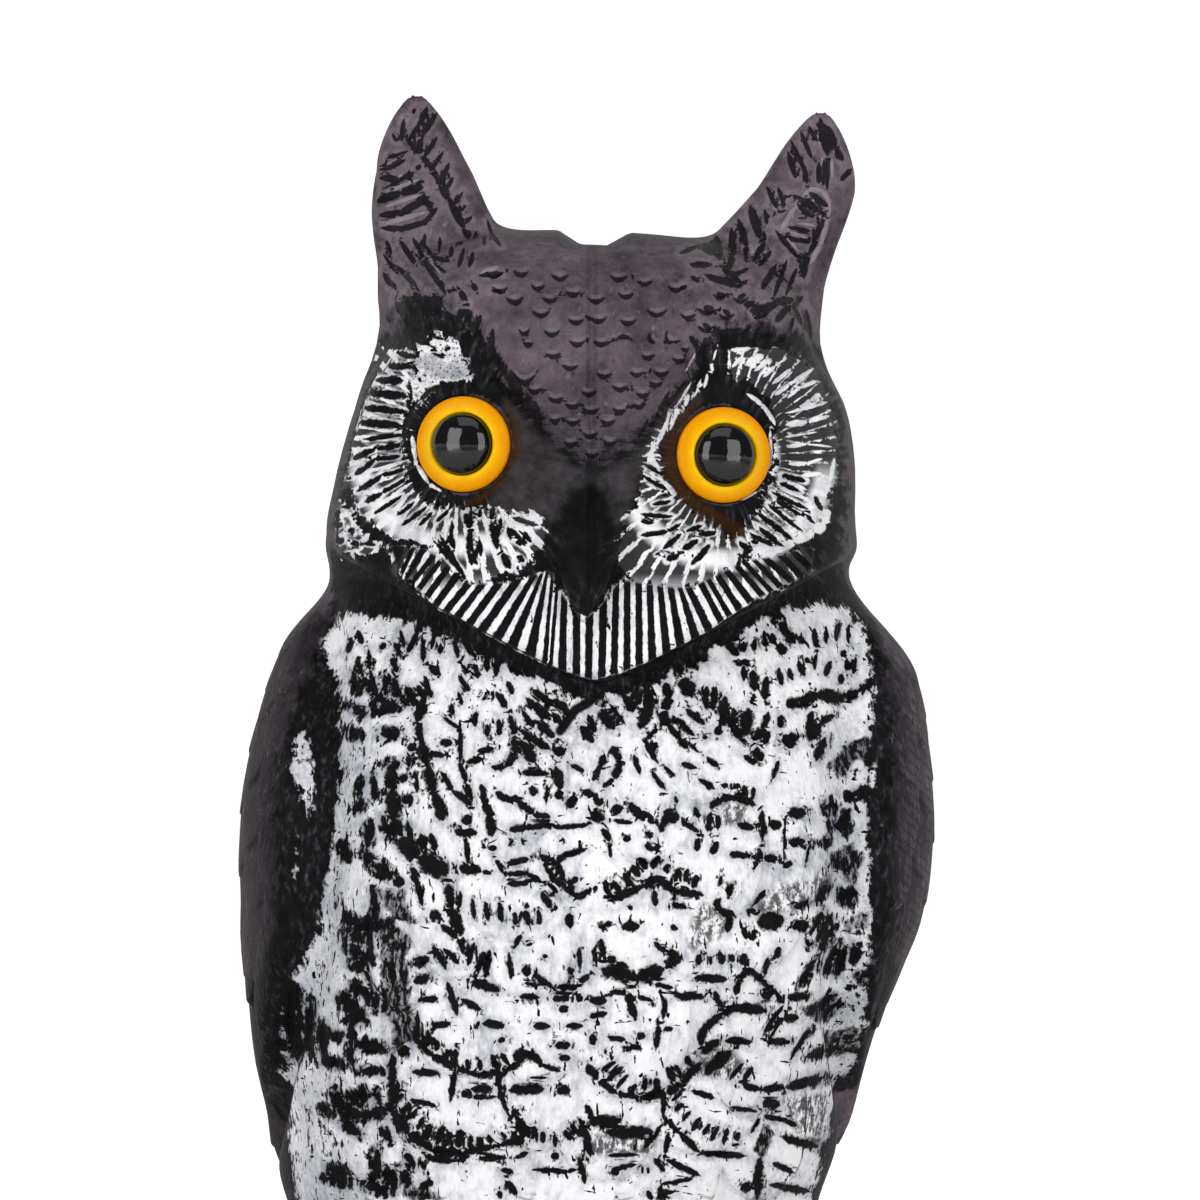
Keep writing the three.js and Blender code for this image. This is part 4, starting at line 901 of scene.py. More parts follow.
        788,813,18,0, 664,811,15,9, 392,814,8,24, 343,999,18,21, 451,906,10,30, 793,927,17,-1,
        408,1133,23,18, 732,1051,-27,23, 763,1103,17,2, 589,1122,32,-2,
    ],
    12: [379,707,19,-1, 782,741,17,-4, 606,1133,46,-1],
    13: [391,789,3,31, 817,694,28,5, 374,865,18,13, 515,1061,11,-10],
    14: [749,709,-4,26, 392,1112,16,21],
    15: [683,678,9,18, 601,969,35,10, 636,979,28,-10],
    17: [400,838,18,20],
    18: [758,922,26,-1],
    20: [418,858,30,15],
}
# The pale strokes from 412,436 to 443,492, hugging the lower left of the owl's right iris, are a painted
# reflection off the socket's edge.
PALE_STROKES = {
    2: [
        775,366,12,-8, 785,413,21,-4, 797,435,20,-3, 807,444,25,3, 698,387,-4,10, 662,435,-4,11,
        699,347,-13,24, 691,382,-15,24, 718,344,-5,16, 761,490,-21,11,
    ],
    3: [
        787,398,12,-10, 794,411,16,-10, 806,409,21,-7, 785,437,12,-2, 711,366,2,5, 707,374,-3,14,
        698,380,1,7, 684,406,-2,7, 675,416,-5,14, 646,483,11,7, 806,464,16,-5, 770,495,26,19,
        765,506,35,26, 752,521,21,13, 773,534,12,11, 749,530,26,19, 670,409,-8,27, 664,425,-11,27,
        429,484,14,8, 770,430,0,33, 770,463,-9,19, 784,234,15,18, 801,206,20,12, 796,223,20,3,
        790,232,17,6, 815,131,6,17, 822,157,0,22, 832,157,0,22, 772,206,6,6, 758,246,9,-6, 394,179,14,-6,
        424,251,17,24, 420,245,6,10,
    ],
    4: [
        732,367,9,-10, 754,371,17,-12, 763,377,12,-11, 772,384,19,-15, 775,395,15,-11, 790,384,23,-15,
        799,388,18,-7, 807,422,22,-6, 787,447,20,-3, 747,394,16,12, 763,406,12,19, 688,394,-3,12,
        676,408,0,8, 665,425,-3,10, 652,441,1,11, 643,467,22,16, 789,464,17,0, 780,479,27,11,
        778,487,30,13, 796,514,15,11, 762,517,27,22, 834,458,-5,25, 829,483,-4,9, 412,436,4,27,
        416,463,13,21, 810,197,14,15, 750,243,4,15, 382,168,21,-10, 382,194,38,-15, 385,207,38,-13,
        480,273,19,-6,
    ],
    5: [
        731,350,20,-2, 810,401,10,-7, 648,458,12,11, 665,483,11,13, 801,476,21,-3, 808,500,16,13,
        780,231,16,-25, 796,206,14,-17, 810,189,12,2, 822,191,7,9, 829,200,-1,18, 828,218,-7,25,
        821,243,-11,21, 385,224,42,-12,
    ],
    6: [786,425,21,-3],
    7: [745,365,18,-10, 653,452,-5,6, 794,542,-19,10, 775,552,-14,6],
    8: [827,509,-3,14, 814,532,-20,10],
    10: [824,523,-10,9],
}

# The crescents on the forehead: middle and half width, and the sag and tilt where they aren't 1 and 0.
NICKS = [
    (494, 271, 8), (521, 270, 8), (560, 273, 9), (619, 274, 9), (645, 279, 8), (676, 285, 8),
    (500, 286, 8), (514, 296, 9), (550, 296, 8), (541, 310, 9), (596, 296, 9), (626, 292, 8),
    (598, 316, 9), (628, 319, 8), (657, 309, 10), (688, 313, 8), (708, 308, 8), (727, 313, 8),
    (706, 325, 8), (720, 293, 7), (741, 296, 8), (515, 298, 8, 1, -20), (538, 284, 7),
    (524, 327, 6, 2, 0), (528, 342, 5), (624, 342, 9, -1, 0), (653, 338, 6, 1, 60), (673, 335, 7, 2, 40),
    (685, 346, 4, 2, 0), (679, 357, 7), (525, 365, 14, 2, 0), (570, 364, 8), (637, 371, 7), (661, 370, 8),
    (535, 387, 8), (556, 396, 8), (656, 381, 7), (643, 392, 7), (639, 403, 7), (589, 390, 8),
    (591, 407, 9), (573, 419, 8), (608, 419, 8), (590, 432, 8), (571, 441, 7), (610, 440, 7),
    (592, 452, 7), (620, 385, 8), (604, 372, 8), (577, 340, 8), (601, 340, 8), (552, 330, 8),
    (576, 318, 8), (573, 290, 8), (648, 354, 7), (553, 352, 8), (572, 403, 7), (620, 408, 7),
    (555, 418, 6),
]

# Patches where the black ground shows, and patches where the white is rubbed thin.
BARE = [
    [829,766, 845,746, 864,737, 875,741, 880,766, 867,766, 854,759, 849,778, 836,778],
    [374,890, 404,891, 411,914, 415,925, 396,919, 387,906],
    [
        376,921, 389,914, 404,930, 413,947, 405,958, 411,976, 404,995, 411,1020, 389,1020, 387,988,
        378,973, 380,951,
    ],
    [830,853, 856,843, 862,853, 858,880, 849,884, 838,871, 829,864],
    [843,921, 856,914, 867,914, 864,928, 849,934],
    [854,971, 873,964, 873,982, 862,988, 853,980],
    [341,1000, 350,996, 369,1015, 358,1021, 347,1009],
    [389,990, 408,990, 412,1013, 415,1038, 402,1044, 396,1053, 392,1038, 392,1013],
    [404,1189, 433,1189, 442,1200, 402,1200],
    [799,1007, 832,996, 835,1015, 816,1023, 809,1017],
    [824,1030, 860,1028, 858,1053, 835,1057, 824,1044],
    [763,1124, 774,1133, 772,1143, 763,1155, 753,1149],
]
WORN = [
    [721,803, 747,803, 747,820, 723,820],
    [723,810, 742,810, 742,825, 723,825],
    [686,939, 694,914, 701,902, 716,906, 734,910, 731,928, 719,939, 705,947, 690,951],
    [756,906, 782,884, 812,880, 827,860, 832,884, 816,902, 793,912, 760,914],
    [702,1047, 719,1038, 744,1063, 728,1078, 709,1078, 694,1074, 686,1082, 675,1089],
    [782,1097, 828,1093, 828,1124, 818,1147, 799,1135, 790,1122],
    [589,1135, 656,1135, 656,1155, 589,1155],
]


# The surface
FRONT_SLOPE = -0.3
FINE_ABOVE = 245
EARS_ABOVE = 885
PAINTED_ABOVE = 830


def relaxed(points, quads):
    """The points moved halfway towards the middle of their neighbours."""
    total = np.zeros_like(points)
    count = np.zeros(len(points))
    for k in range(4):
        a, b = quads[:, k], quads[:, (k + 1) % 4]
        for c in range(3):
            total[:, c] += np.bincount(a, points[b, c], len(points))
            total[:, c] += np.bincount(b, points[a, c], len(points))
        count += np.bincount(a, minlength=len(points)) + np.bincount(b, minlength=len(points))
    return points + (total / count[:, None] - points) * 0.5


def put_places(mesh, points):
    """Moves a mesh's corners to points given in thousandths."""
    mesh.vertices.foreach_set("co", (points * UNIT).astype(np.float32).ravel())


def new_mesh(name, points, faces):
    mesh = bpy.data.meshes.new(name)
    mesh.vertices.add(len(points))
    put_places(mesh, points)
    mesh.loops.add(faces.size)
    mesh.loops.foreach_set("vertex_index", faces.astype(np.int32).ravel())
    mesh.polygons.add(len(faces))
    mesh.polygons.foreach_set("loop_start", np.arange(len(faces), dtype=np.int32) * faces.shape[1])
    mesh.update(calc_edges=True)
    mesh.validate()
    return mesh


def placed(name, data):
    """A new object, linked to the scene."""
    item = bpy.data.objects.new(name, data)
    bpy.context.scene.collection.objects.link(item)
    return item


def round_sockets(points):
    """Brings the corners near each socket's edge onto its circle."""
    for side in EYE_SIDES:
        before, r = eye_place(side, *points.T)
        rim = (points[:, 1] < 0) & (np.abs(r - SOCKET_RADIUS) < 1.0 * MM) & (before > -0.8 * MM)
        rim &= before < 3 * MM
        axis, centre = eye_axis(side), eye_centre(side)
        offset = points[rim] - centre - before[rim, None] * axis
        points[rim] = centre + offset * (SOCKET_RADIUS / r[rim])[:, None]
    return points


def in_front(points):
    return (points[:, 1] < 0) | (points[:, 2] > PAINTED_ABOVE)


def body_mesh(spacing, kept):
    """The figure's mesh with about `kept` triangles, most of them where the photograph shows it."""
    points, quads = wrap(spacing)
    points, slope = settled(relaxed(points, quads))
    points = round_sockets(points)
    ahead = slope[:, 1] / np.linalg.norm(slope, axis=1) < FRONT_SLOPE
    shown = (ahead & (points[:, 1] < 0) & (points[:, 2] > FINE_ABOVE)) | (points[:, 2] > EARS_ABOVE)
    mesh = new_mesh("whole", points, quads)
    whole = placed("whole", mesh)
    group = whole.vertex_groups.new(name="coarser")
    group.add(np.nonzero(~shown)[0].tolist(), 1.0, "REPLACE")
    fewer = whole.modifiers.new("fewer", "DECIMATE")
    fewer.ratio = kept / (2 * len(quads))
    fewer.vertex_group = "coarser"
    fewer.vertex_group_factor = 10
    fewer.use_collapse_triangulate = True
    seen = bpy.context.evaluated_depsgraph_get()
    result = bpy.data.meshes.new_from_object(whole.evaluated_get(seen))
    bpy.data.objects.remove(whole)
    bpy.data.meshes.remove(mesh)
    return result


def vertex_places(mesh):
    places = np.empty(len(mesh.vertices) * 3, np.float32)
    mesh.vertices.foreach_get("co", places)
    return places.reshape(-1, 3).astype(float) / UNIT


def keep(mesh, name, values):
    """Keeps three numbers for each corner of a mesh."""
    layer = mesh.attributes.new(name, "FLOAT_VECTOR", "POINT")
    layer.data.foreach_set("vector", values.astype(np.float32).ravel())


# What the plan holds well outside an area and well inside it
NOT_THERE, COVERED = -30, 25
BIB = WHITE[4]
NAPE_GIRTH = 190


def paint_plan(points, normals):
    """What the paint and the finest relief follow at each point."""
    x, y, z = points.T
    px, py = photo_place(x, y, z)
    facing = -normals[:, 1]
    # The front's paint gives way to the topcoat along a wavy line down each side.
    edge = y + 14 * np.sin(z / 23) + 9 * np.sin(z / 9 + 2) + 6 * np.sin(z / 4)
    ahead = smoothstep(0.02, 0.3, facing) * (1 - smoothstep(-55, -5, edge))
    white = np.where(y < 0, mix(NOT_THERE, deepest(px, py, WHITE), ahead), NOT_THERE)
    on_stump = COVERED - 85 * smoothstep(58, 66, z)
    top = np.maximum(mix(COVERED, deepest(px, py, TOPCOAT), ahead), on_stump)
    brown = np.where(y < 0, deepest(px, py, BROWN), NOT_THERE)
    dark = nearest_stroke(px, py, stroke_rows(DARK_STROKES))
    pale = nearest_stroke(px, py, stroke_rows(PALE_STROKES))
    nick = nearest_nick(px, py)
    bib = np.stack([fan_phase(px, py, BIB_STRIPES), inside(px, py, BIB), inside(px, py, DIM)], 1)
    behind = ~in_front(points) | (facing < -0.1)
    dark[behind] = pale[behind] = NO_STROKE
    nick[behind] = NO_NICK
    bib[behind] = (-1, NOT_THERE, NOT_THERE)
    folded_share, _, folded = feathers(x, y, z)
    nape = smoothstep(600, 650, z)
    scales = 4.5 * tiles(np.radians(torso.turn_at(x, y, z)) * NAPE_GIRTH, z, *NAPE_SCALES)
    folded = mix(folded, scales, nape)
    folded_share = np.maximum(folded_share, nape * smoothstep(-70, 0, y))
    lobe, rise = lobe_at(x, z)
    middle, lowest, half, length = LOBES[np.maximum(lobe, 0)].T
    turn = np.arctan2(x - middle, half * 0.9 - (z - lowest))
    across = np.clip(np.abs(x - middle) / half, 0, 0.97)
    steep = length * 0.6 * across / (half * np.sqrt(1 - across**2))
    inward = np.where((lobe >= 0) & (y < -40), rise * length / np.hypot(1, steep), 200)
    worn = [deepest(px, py, BARE), deepest(px, py, WORN), near_polyline(px, py, CREASE)]
    return dict(
        spot=np.stack([px, py, facing], 1),
        zone=np.stack([white, top, brown], 1),
        worn=np.stack(worn, 1),
        dark=dark, pale=pale, bib=bib, nick=nick,
        lobe=np.stack([turn * half / 5.4, inward, lobe * 1.7], 1),
        form=np.stack([folded, z, folded_share], 1),
    )


def nick_relief(marks):
    u, below, away = marks.T
    return np.clip(1 - u * u, 0, 1) * np.exp(-((below / 2.4) ** 2)) * (away < 6)


def stroke_relief(marks):
    side, along, outside = marks.T
    share = np.clip(1 - (2 * along - 1) ** 4, 0, 1)
    return share * np.exp(-((side / 1.3) ** 2)) * (1 - smoothstep(0, 3, outside))


# The relief of the paint, in thousandths of the figure's height
STROKE_DEPTH, STROKE_RISE, NICK_DEPTH, STRIPE_DEPTH = 1.3, 1.1, 1.5, 1.1
# The mesh's spacing in millimetres and the triangles kept of it
FULL_MESH = (1.1, 196000)


def painted_body():
    """The body with the paint's relief on it, and the paint's plan kept at its corners."""
    spacing, kept = FULL_MESH
    mesh = body_mesh(spacing * MM, kept)
    points = vertex_places(mesh)
    normals = slope_at(points)
    plan = paint_plan(points, normals)
    phase, bib, _ = plan["bib"].T
    relief = -STROKE_DEPTH * stroke_relief(plan["dark"]) + STROKE_RISE * stroke_relief(plan["pale"])
    relief = relief - NICK_DEPTH * nick_relief(plan["nick"])
    relief = relief - STRIPE_DEPTH * smoothstep(-2, 5, bib) * np.cos(2 * np.pi * phase)
    on_face = smoothstep(0.15, 0.45, plan["spot"][:, 2]) * in_front(points)
    put_places(mesh, points + normals * (relief * on_face)[:, None])
    mesh.update()
    for name, values in plan.items():
        keep(mesh, "paint_" + name, values)
    mesh.shade_smooth()
    return placed("owl_body_painted", mesh)


body = painted_body()


# Materials
class Flow:
    """A number or vector that runs through a material's nodes."""

    def __init__(self, tree, socket):
        self.tree, self.socket = tree, socket

    def plug(self, target):
        self.tree.links.new(self.socket, target)

    def math(self, operation, *others):
        node = self.tree.nodes.new("ShaderNodeMath")
        node.operation = operation
        for socket, value in zip(node.inputs, (self, *others)):
            feed(value, socket)
        return Flow(self.tree, node.outputs[0])

    def __add__(self, other):
        return self.math("ADD", other)

    def __sub__(self, other):
        return self.math("SUBTRACT", other)

    def __mul__(self, other):
        return self.math("MULTIPLY", other)

    def __pow__(self, other):
        return self.math("POWER", other)

    def __rsub__(self, other):
        return self * -1.0 + other

    __radd__, __rmul__ = __add__, __mul__

    def size(self):
        return self.math("ABSOLUTE")

    def least(self, other):
        return self.math("MINIMUM", other)

    def most(self, other):
        return self.math("MAXIMUM", other)

    def clipped(self):
        return self.least(1.0).most(0.0)

    def wave(self):
        """1 at whole numbers and -1 halfway between them."""
        return (self * (2 * math.pi)).math("COSINE")

    def step(self, start, end):
        """Runs smoothly from 0 at start to 1 at end, which may be lower than start."""
        node = self.tree.nodes.new("ShaderNodeMapRange")
        node.interpolation_type = "SMOOTHSTEP"
        feed(self, node.inputs["Value"])
        falling = start > end
        node.inputs["From Min"].default_value = min(start, end)
        node.inputs["From Max"].default_value = max(start, end)
        node.inputs["To Min"].default_value = float(falling)
        node.inputs["To Max"].default_value = float(not falling)
        return Flow(self.tree, node.outputs["Result"])

    def parts(self):
        node = self.tree.nodes.new("ShaderNodeSeparateXYZ")
        feed(self, node.inputs[0])
        return [Flow(self.tree, socket) for socket in node.outputs]


def feed(value, socket):
    if isinstance(value, Flow):
        value.plug(socket)
    else:
        socket.default_value = value


def joined(x, y, z):
    node = x.tree.nodes.new("ShaderNodeCombineXYZ")
    for socket, value in zip(node.inputs, (x, y, z)):
        feed(value, socket)
    return Flow(x.tree, node.outputs[0])


def noise(place, scale, detail=2.0, rough=0.5):
    """Cloudy variation about 0, mostly from -1 to 1."""
    node = place.tree.nodes.new("ShaderNodeTexNoise")
    for name, value in (("Scale", scale), ("Detail", detail), ("Roughness", rough), ("Vector", place)):
        feed(value, node.inputs[name])
    return (Flow(place.tree, node.outputs["Fac"]) - 0.5) * 4.0


def attribute(tree, name):
    node = tree.nodes.new("ShaderNodeAttribute")
    node.attribute_name = name
    return Flow(tree, node.outputs["Vector"])


def object_place(tree):
    return Flow(tree, tree.nodes.new("ShaderNodeTexCoord").outputs["Object"])


def blend(share, a, b):
    """From colour a to colour b."""
    node = share.tree.nodes.new("ShaderNodeMix")
    node.data_type = "RGBA"
    for value, socket in ((share, node.inputs["Factor"]), (a, node.inputs[6]), (b, node.inputs[7])):
        feed(value, socket)
    return Flow(share.tree, node.outputs[2])


def linear(red, green, blue):
    """A screen colour, from 0 to 255, as light."""
    return tuple(
        (v / 12.92 if v <= 0.04045 else ((v + 0.055) / 1.055) ** 2.4)
        for v in (red / 255, green / 255, blue / 255)
    ) + (1.0,)


def new_material(name):
    material = bpy.data.materials.new(name)
    material.use_nodes = True
    tree = material.node_tree
    return material, tree, tree.nodes["Principled BSDF"]


def finish_material(shader, colour, height, distance, rough, specular):
    tree = height.tree
    colour.plug(shader.inputs["Base Color"])
    node = tree.nodes.new("ShaderNodeBump")
    node.inputs["Distance"].default_value = distance
    height.plug(node.inputs["Height"])
    tree.links.new(node.outputs["Normal"], shader.inputs["Normal"])
    feed(rough, shader.inputs["Roughness"])
    feed(specular, shader.inputs["Specular IOR Level"])


# The paints' colours, and those of painted highlight and painted shade
# The thin white is partly painted shade round the strokes.
THICK_WHITE, THIN_AND_SHADED_WHITE = linear(250, 250, 252), linear(150, 154, 166)
LID_GREY, LID_SPECK = linear(96, 100, 116), linear(34, 35, 40)
BLACK, SOFT_BLACK = linear(8, 8, 9), linear(24, 24, 26)
HAIR_GREY, DUSK = linear(104, 106, 114), linear(70, 67, 70)
DEEP_TOPCOAT, TOPCOAT_COLOUR = linear(62, 56, 62), linear(116, 102, 112)
# The first of these is a painted highlight on raised feathers and crescent lips.
TOPCOAT_HIGHLIGHT, LOW_TOPCOAT = linear(142, 128, 138), linear(42, 41, 44)
DRY_BRUSH, SCRATCHED = linear(158, 145, 152), linear(158, 144, 152)
# The soot colour also serves as painted shade in hollows and along turned-away edges.
SOOT_AND_SHADE, NICK_BLACK, STAIN = linear(26, 24, 27), linear(16, 15, 17), linear(62, 38, 13)
IRIS_INNER, IRIS_MIDDLE, IRIS_RIM = linear(255, 206, 0), linear(247, 182, 0), linear(233, 150, 0)
PUPIL_DEEP, PUPIL_SOFT = linear(8, 8, 8), linear(14, 13, 13)

# Where the photograph has the middle of the owl's right eye, and how far from it that of the left one is.
RIGHT_EYE = (459.5, 443.8)
TO_LEFT_EYE = (265.0, 13.7)

# Spans of the photograph, each from where a kind of paint starts to where it is all there
LEFT_HALF = (585, 599)
FACE = (600, 572)
CROWN = (345, 320)
UNDER_VISIBLE = (1188, 1210)
LID_BEGIN, LID_END, LID_HEIGHT = (408, 414), (482, 474), (398, 391)
LID_SHADE_TOP, LID_SHADE_BOTTOM = (351, 358), (382, 376)
OUTER_DISC = (740, 780)
LOW_DASHES = (1195, 1230)
RIGHT_FLANK, RIGHT_FLANK_HEIGHT = (450, 335), (640, 690)
LEFT_FLANK, LEFT_FLANK_HEIGHT = (780, 850), (700, 800)
CHIN_HEIGHT = (596, 612)
LOWER_FACE = (350, 500)
RIGHT_WING, RIGHT_WING_HEIGHT = (352, 318), (585, 640)
LEFT_WING, LEFT_WING_HEIGHT = (872, 900), (600, 660)
WING_FOOT = (760, 900)

# The same for distances from an eye's middle, in pixels, and for levels on the figure
SPOKES_FROM, DISC_RIM_FROM, DISC_RIM_TO = (50, 58), (88, 97), (118, 106)
FEATHERS_FROM, BARBS_TO = (80, 130), (655, 610)

# The object's depth in metres, as pixels, so that the noise doesn't streak over faces that turn aside.
DEPTH_PIXELS = 3600.0


def plumage_material():
    material, tree, shader = new_material("plumage")
    px, py, facing = attribute(tree, "paint_spot").parts()
    white, top, brown = attribute(tree, "paint_zone").parts()
    bare, worn, crease = attribute(tree, "paint_worn").parts()
    place = object_place(tree)
    depth = place.parts()[1] * DEPTH_PIXELS
    flat = joined(px, py, depth)
    fine = noise(flat, 0.16, 3, 0.6)
    mottle = noise(flat, 0.06, 3, 0.6)
    broad = noise(flat, 0.018, 2)

    # Brush hairs run out from each eye on the face and down the body.
    left = px.step(*LEFT_HALF)
    out = (px - left * TO_LEFT_EYE[0] - RIGHT_EYE[0]) * (left * 2.0 - 1.0)
    down = py - left * TO_LEFT_EYE[1] - RIGHT_EYE[1]
    radius = (out * out + down * down) ** 0.5
    turn = down.math("ARCTAN2", out)
    rays = noise(joined(turn * 15.0, radius * 0.045, left * 7.0), 1.0, 3, 0.65)
    hairs = noise(joined(px * 0.2 + mottle * 0.6, py * 0.07, depth * 0.2), 1.0, 3, 0.65)
    face = py.step(*FACE)
    hair = rays * face + hairs * (1 - face)

    # The brush strokes have ragged edges, which are calmer on the ears.
    calm = 1 - py.step(*CROWN) * 0.6

    def strokes(name, ragged):
        side, along, outside = attribute(tree, name).parts()
        taper = 1 - (2 * along - 1).size() ** 3.5 * 0.8
        reach = side.size() * 0.9 + fine * (calm * ragged)
        return (taper - reach).step(-0.22, 0.22) * outside.step(2.2, 0.4), outside

    dark, dark_away = strokes("paint_dark", 0.42)
    pale, _ = strokes("paint_pale", 0.3)

    # The bib's stripes, and the dark rims and fringes of the feathers below the photograph.
    phase, bib, dim = attribute(tree, "paint_bib").parts()
    stripe = (phase.wave() + fine * 0.3 + hair * 0.15 + 0.3).step(-0.2, 0.2)
    bib_dark = stripe * bib.step(-3.0, 1.0)
    around, inward, seed = attribute(tree, "paint_lobe").parts()
    spread = (around + seed).wave() + fine * 0.3
    fringe = spread.step(-0.1, 0.35) * (inward + mottle * 2.0).step(15.0, 10.0) * inward.step(0.5, 2.0)
    rim = (inward + fine * 0.8).step(3.5, 1.5)
    lobed = fringe.most(rim) * py.step(*UNDER_VISIBLE)

    # Grooves between the hairs: rays round the eyes, and loose short dashes on the breast.
    spoke = (turn * 8.2 + rays * 0.16 + mottle * 0.12).wave() + fine * 0.35 + rays * 0.3
    disc_rim = radius.step(*DISC_RIM_FROM) * radius.step(*DISC_RIM_TO) * down.step(0.0, 30.0)
    eyelid = px.step(*LID_BEGIN) * px.step(*LID_END) * py.step(*LID_HEIGHT)
    spoke = spoke + left * 0.45 + px.step(*OUTER_DISC) * 0.3 + 0.18
    spokes = spoke.step(-0.2, 0.15) * radius.step(*SPOKES_FROM)
    spokes = spokes * dark_away.step(0.0, 3.0) * face * (1 - disc_rim) * (1 - eyelid)
    standing = joined(px * 0.21 + mottle * 0.5, py * 0.06 + mottle * 0.4, depth * 0.2)
    lying = joined(px * 0.055 + mottle * 0.3, py * 0.22 + mottle * 0.4, depth * 0.05)
    upright, level = noise(standing, 1.0, 1), noise(lying, 1.0, 1)
    dashes = upright.step(0.62, 0.95).most(level.step(0.8, 1.1)) * (1 - face)
    dashes = dashes.most(upright.step(0.25, 0.6) * py.step(*LOW_DASHES))
    # Painted shade round the dark strokes: less white and a greyer white there.
    shade_round_strokes = dark_away.step(8.0, 0.0) * (1 - face * 0.6)
    flank = px.step(*RIGHT_FLANK) * py.step(*RIGHT_FLANK_HEIGHT)
    flank = flank.most(px.step(*LEFT_FLANK) * py.step(*LEFT_FLANK_HEIGHT))
    under_chin = bib.step(-16.0, -10.0) * bib.step(0.0, -2.5) * py.step(*CHIN_HEIGHT)

    # How far white paint covers the black ground, less where painted shade falls round the strokes.
    cover = white.least(7.0) * 0.12 + mottle * 0.6 + hair * 0.65 + fine * (0.2 + face * 0.4) + 0.28
    cover = cover - flank * 0.7 - shade_round_strokes * 0.7 - dashes * 1.3 - under_chin * 1.4
    cover = cover.step(-0.15, 0.35) * (1 - face) + cover.step(-0.03, 0.15) * face
    naked = (bare * 0.22 + mottle * 0.9 + fine * 0.5).step(-0.5, 0.5) * (hair * -0.9 + 1.0).least(1.0)
    rubbed = (worn * 0.12).step(-0.5, 0.5) * (hair * 0.9 + fine * 0.6 + 0.2).step(-0.2, 0.5)
    cover = cover * (1 - naked) * (1 - rubbed * 0.85) * crease.step(3.5, 6.5)
    cover = (cover * (1 - spokes * 0.96)).most(pale * 0.95)
    cover = cover * (1 - dark) * (1 - bib_dark) * (1 - lobed)
    # Thinner, greyer white, partly from random tone and partly painted shade round the strokes.
    thin_and_shaded = (broad * 0.4 + mottle * 0.4 + hair * 0.5 + flank * 0.45 + shade_round_strokes * 0.35 - 0.15).step(-0.5, 1.3)
    bright = blend(thin_and_shaded, THICK_WHITE, THIN_AND_SHADED_WHITE)
    lid_shade = eyelid * py.step(*LID_SHADE_TOP) * py.step(*LID_SHADE_BOTTOM)
    lid_shade = lid_shade * (mottle * 0.5 + fine * 0.5 + 0.6).clipped()
    bright = blend(lid_shade * 0.7, bright, LID_GREY)
    specks = noise(joined(px * 0.3, py * 0.3, 2.0), 1.0, 2, 0.6)
    bright = blend(eyelid * specks.step(0.1, 0.7), bright, LID_SPECK)
    ground = blend(mottle * 0.5 + 0.5, BLACK, SOFT_BLACK)
    greyed = (hair * 0.8 - 0.1).step(-0.2, 1.2) * white.step(-34.0, -6.0) * white.step(4.0, -6.0) * 0.6
    ground = blend(greyed, ground, HAIR_GREY)
    dusk = (dim * 0.1 + hair * 0.3 + 0.2).step(-0.5, 0.8) * (0.65 + mottle * 0.35 + rays * 0.2)
    ground = blend(dusk.clipped(), ground, DUSK)
    colour = blend(cover, ground, bright)

    # The topcoat: a painted highlight on raised feathers, darker low on the face, and painted shade in the
    # hollows.
    wood = blend(mottle * 0.4 + broad * 0.35 + 0.45, DEEP_TOPCOAT, TOPCOAT_COLOUR)
    raised, height_up, folded = attribute(tree, "paint_form").parts()
    feathered = folded * height_up.step(*FEATHERS_FROM) * facing.step(0.75, 0.4)
    # Painted highlight: lighter topcoat where the feathers stand up.
    wood = blend(raised.step(1.6, 4.6) * feathered * 0.45, wood, TOPCOAT_HIGHLIGHT)
    # Painted shade in the hollows below each overlapping feather.
    hollow = raised.step(1.4, -0.6) * feathered
    low = py.step(*LOWER_FACE) * face * (1 - (top * -1.0).step(0.0, 30.0)) * facing.step(0.2, 0.6)
    wood = blend(low * 0.75, wood, LOW_TOPCOAT)
    ridge = dark_away.step(7.0, 2.0) * (1 - dark) * py.step(*CROWN)
    wood = blend(ridge * (0.24 + fine * 0.25 + mottle * 0.15).most(0.0), wood, DRY_BRUSH)

    # The crescents on the forehead, each with a painted highlight on the lip above it.
    u, under, away = attribute(tree, "paint_nick").parts()
    span = (1 - u * u).most(0.0)
    near = away.step(4.4, 2.9)
    cut = (span * 2.5 - under.size() + fine * 0.7).step(-0.8, 0.5) * u.size().step(1.0, 0.8) * near
    # Painted highlight along each crescent's upper lip.
    lip_highlight = (span * 2.4 - (under + 4.5).size()).step(-1.0, 1.5) * span * away.step(9.0, 6.0)
    wood = blend(lip_highlight * 0.35, wood, TOPCOAT_HIGHLIGHT)

    # Soot on the wings and between their barbs, and painted shade in the hollows and along the figure's
    # edges where they turn away.
    streak = noise(joined(px * 0.12, py * 0.035 + px * 0.02, depth * 0.12), 1.0, 3, 0.6)
    wing = px.step(*RIGHT_WING) * py.step(*RIGHT_WING_HEIGHT)
    wing = wing.most(px.step(*LEFT_WING) * py.step(*LEFT_WING_HEIGHT) * 0.5)
    wing = wing * facing.step(-0.1, 0.25) * (1 + py.step(*WING_FOOT) * 0.25)
    barb = (px * 0.085 - py * 0.095 + mottle * 0.22).wave() + fine * 0.45
    barb = barb.step(0.2, 0.9) * folded * facing.step(0.62, 0.5) * height_up.step(*BARBS_TO)
    clouds = fine * 0.4 + mottle * 0.5 + noise(place, 55, 3, 0.6) * 0.5 + streak * 0.4
    # Soot in clouds and between the barbs, with painted shade in the feathers' hollows.
    soot_and_shade = (clouds - 0.2).step(-0.3, 1.0) + hollow * (0.7 + fine * 0.3) + barb * 0.4
    soot_and_shade = (soot_and_shade + wing * (1.05 + streak * 0.5)).clipped()
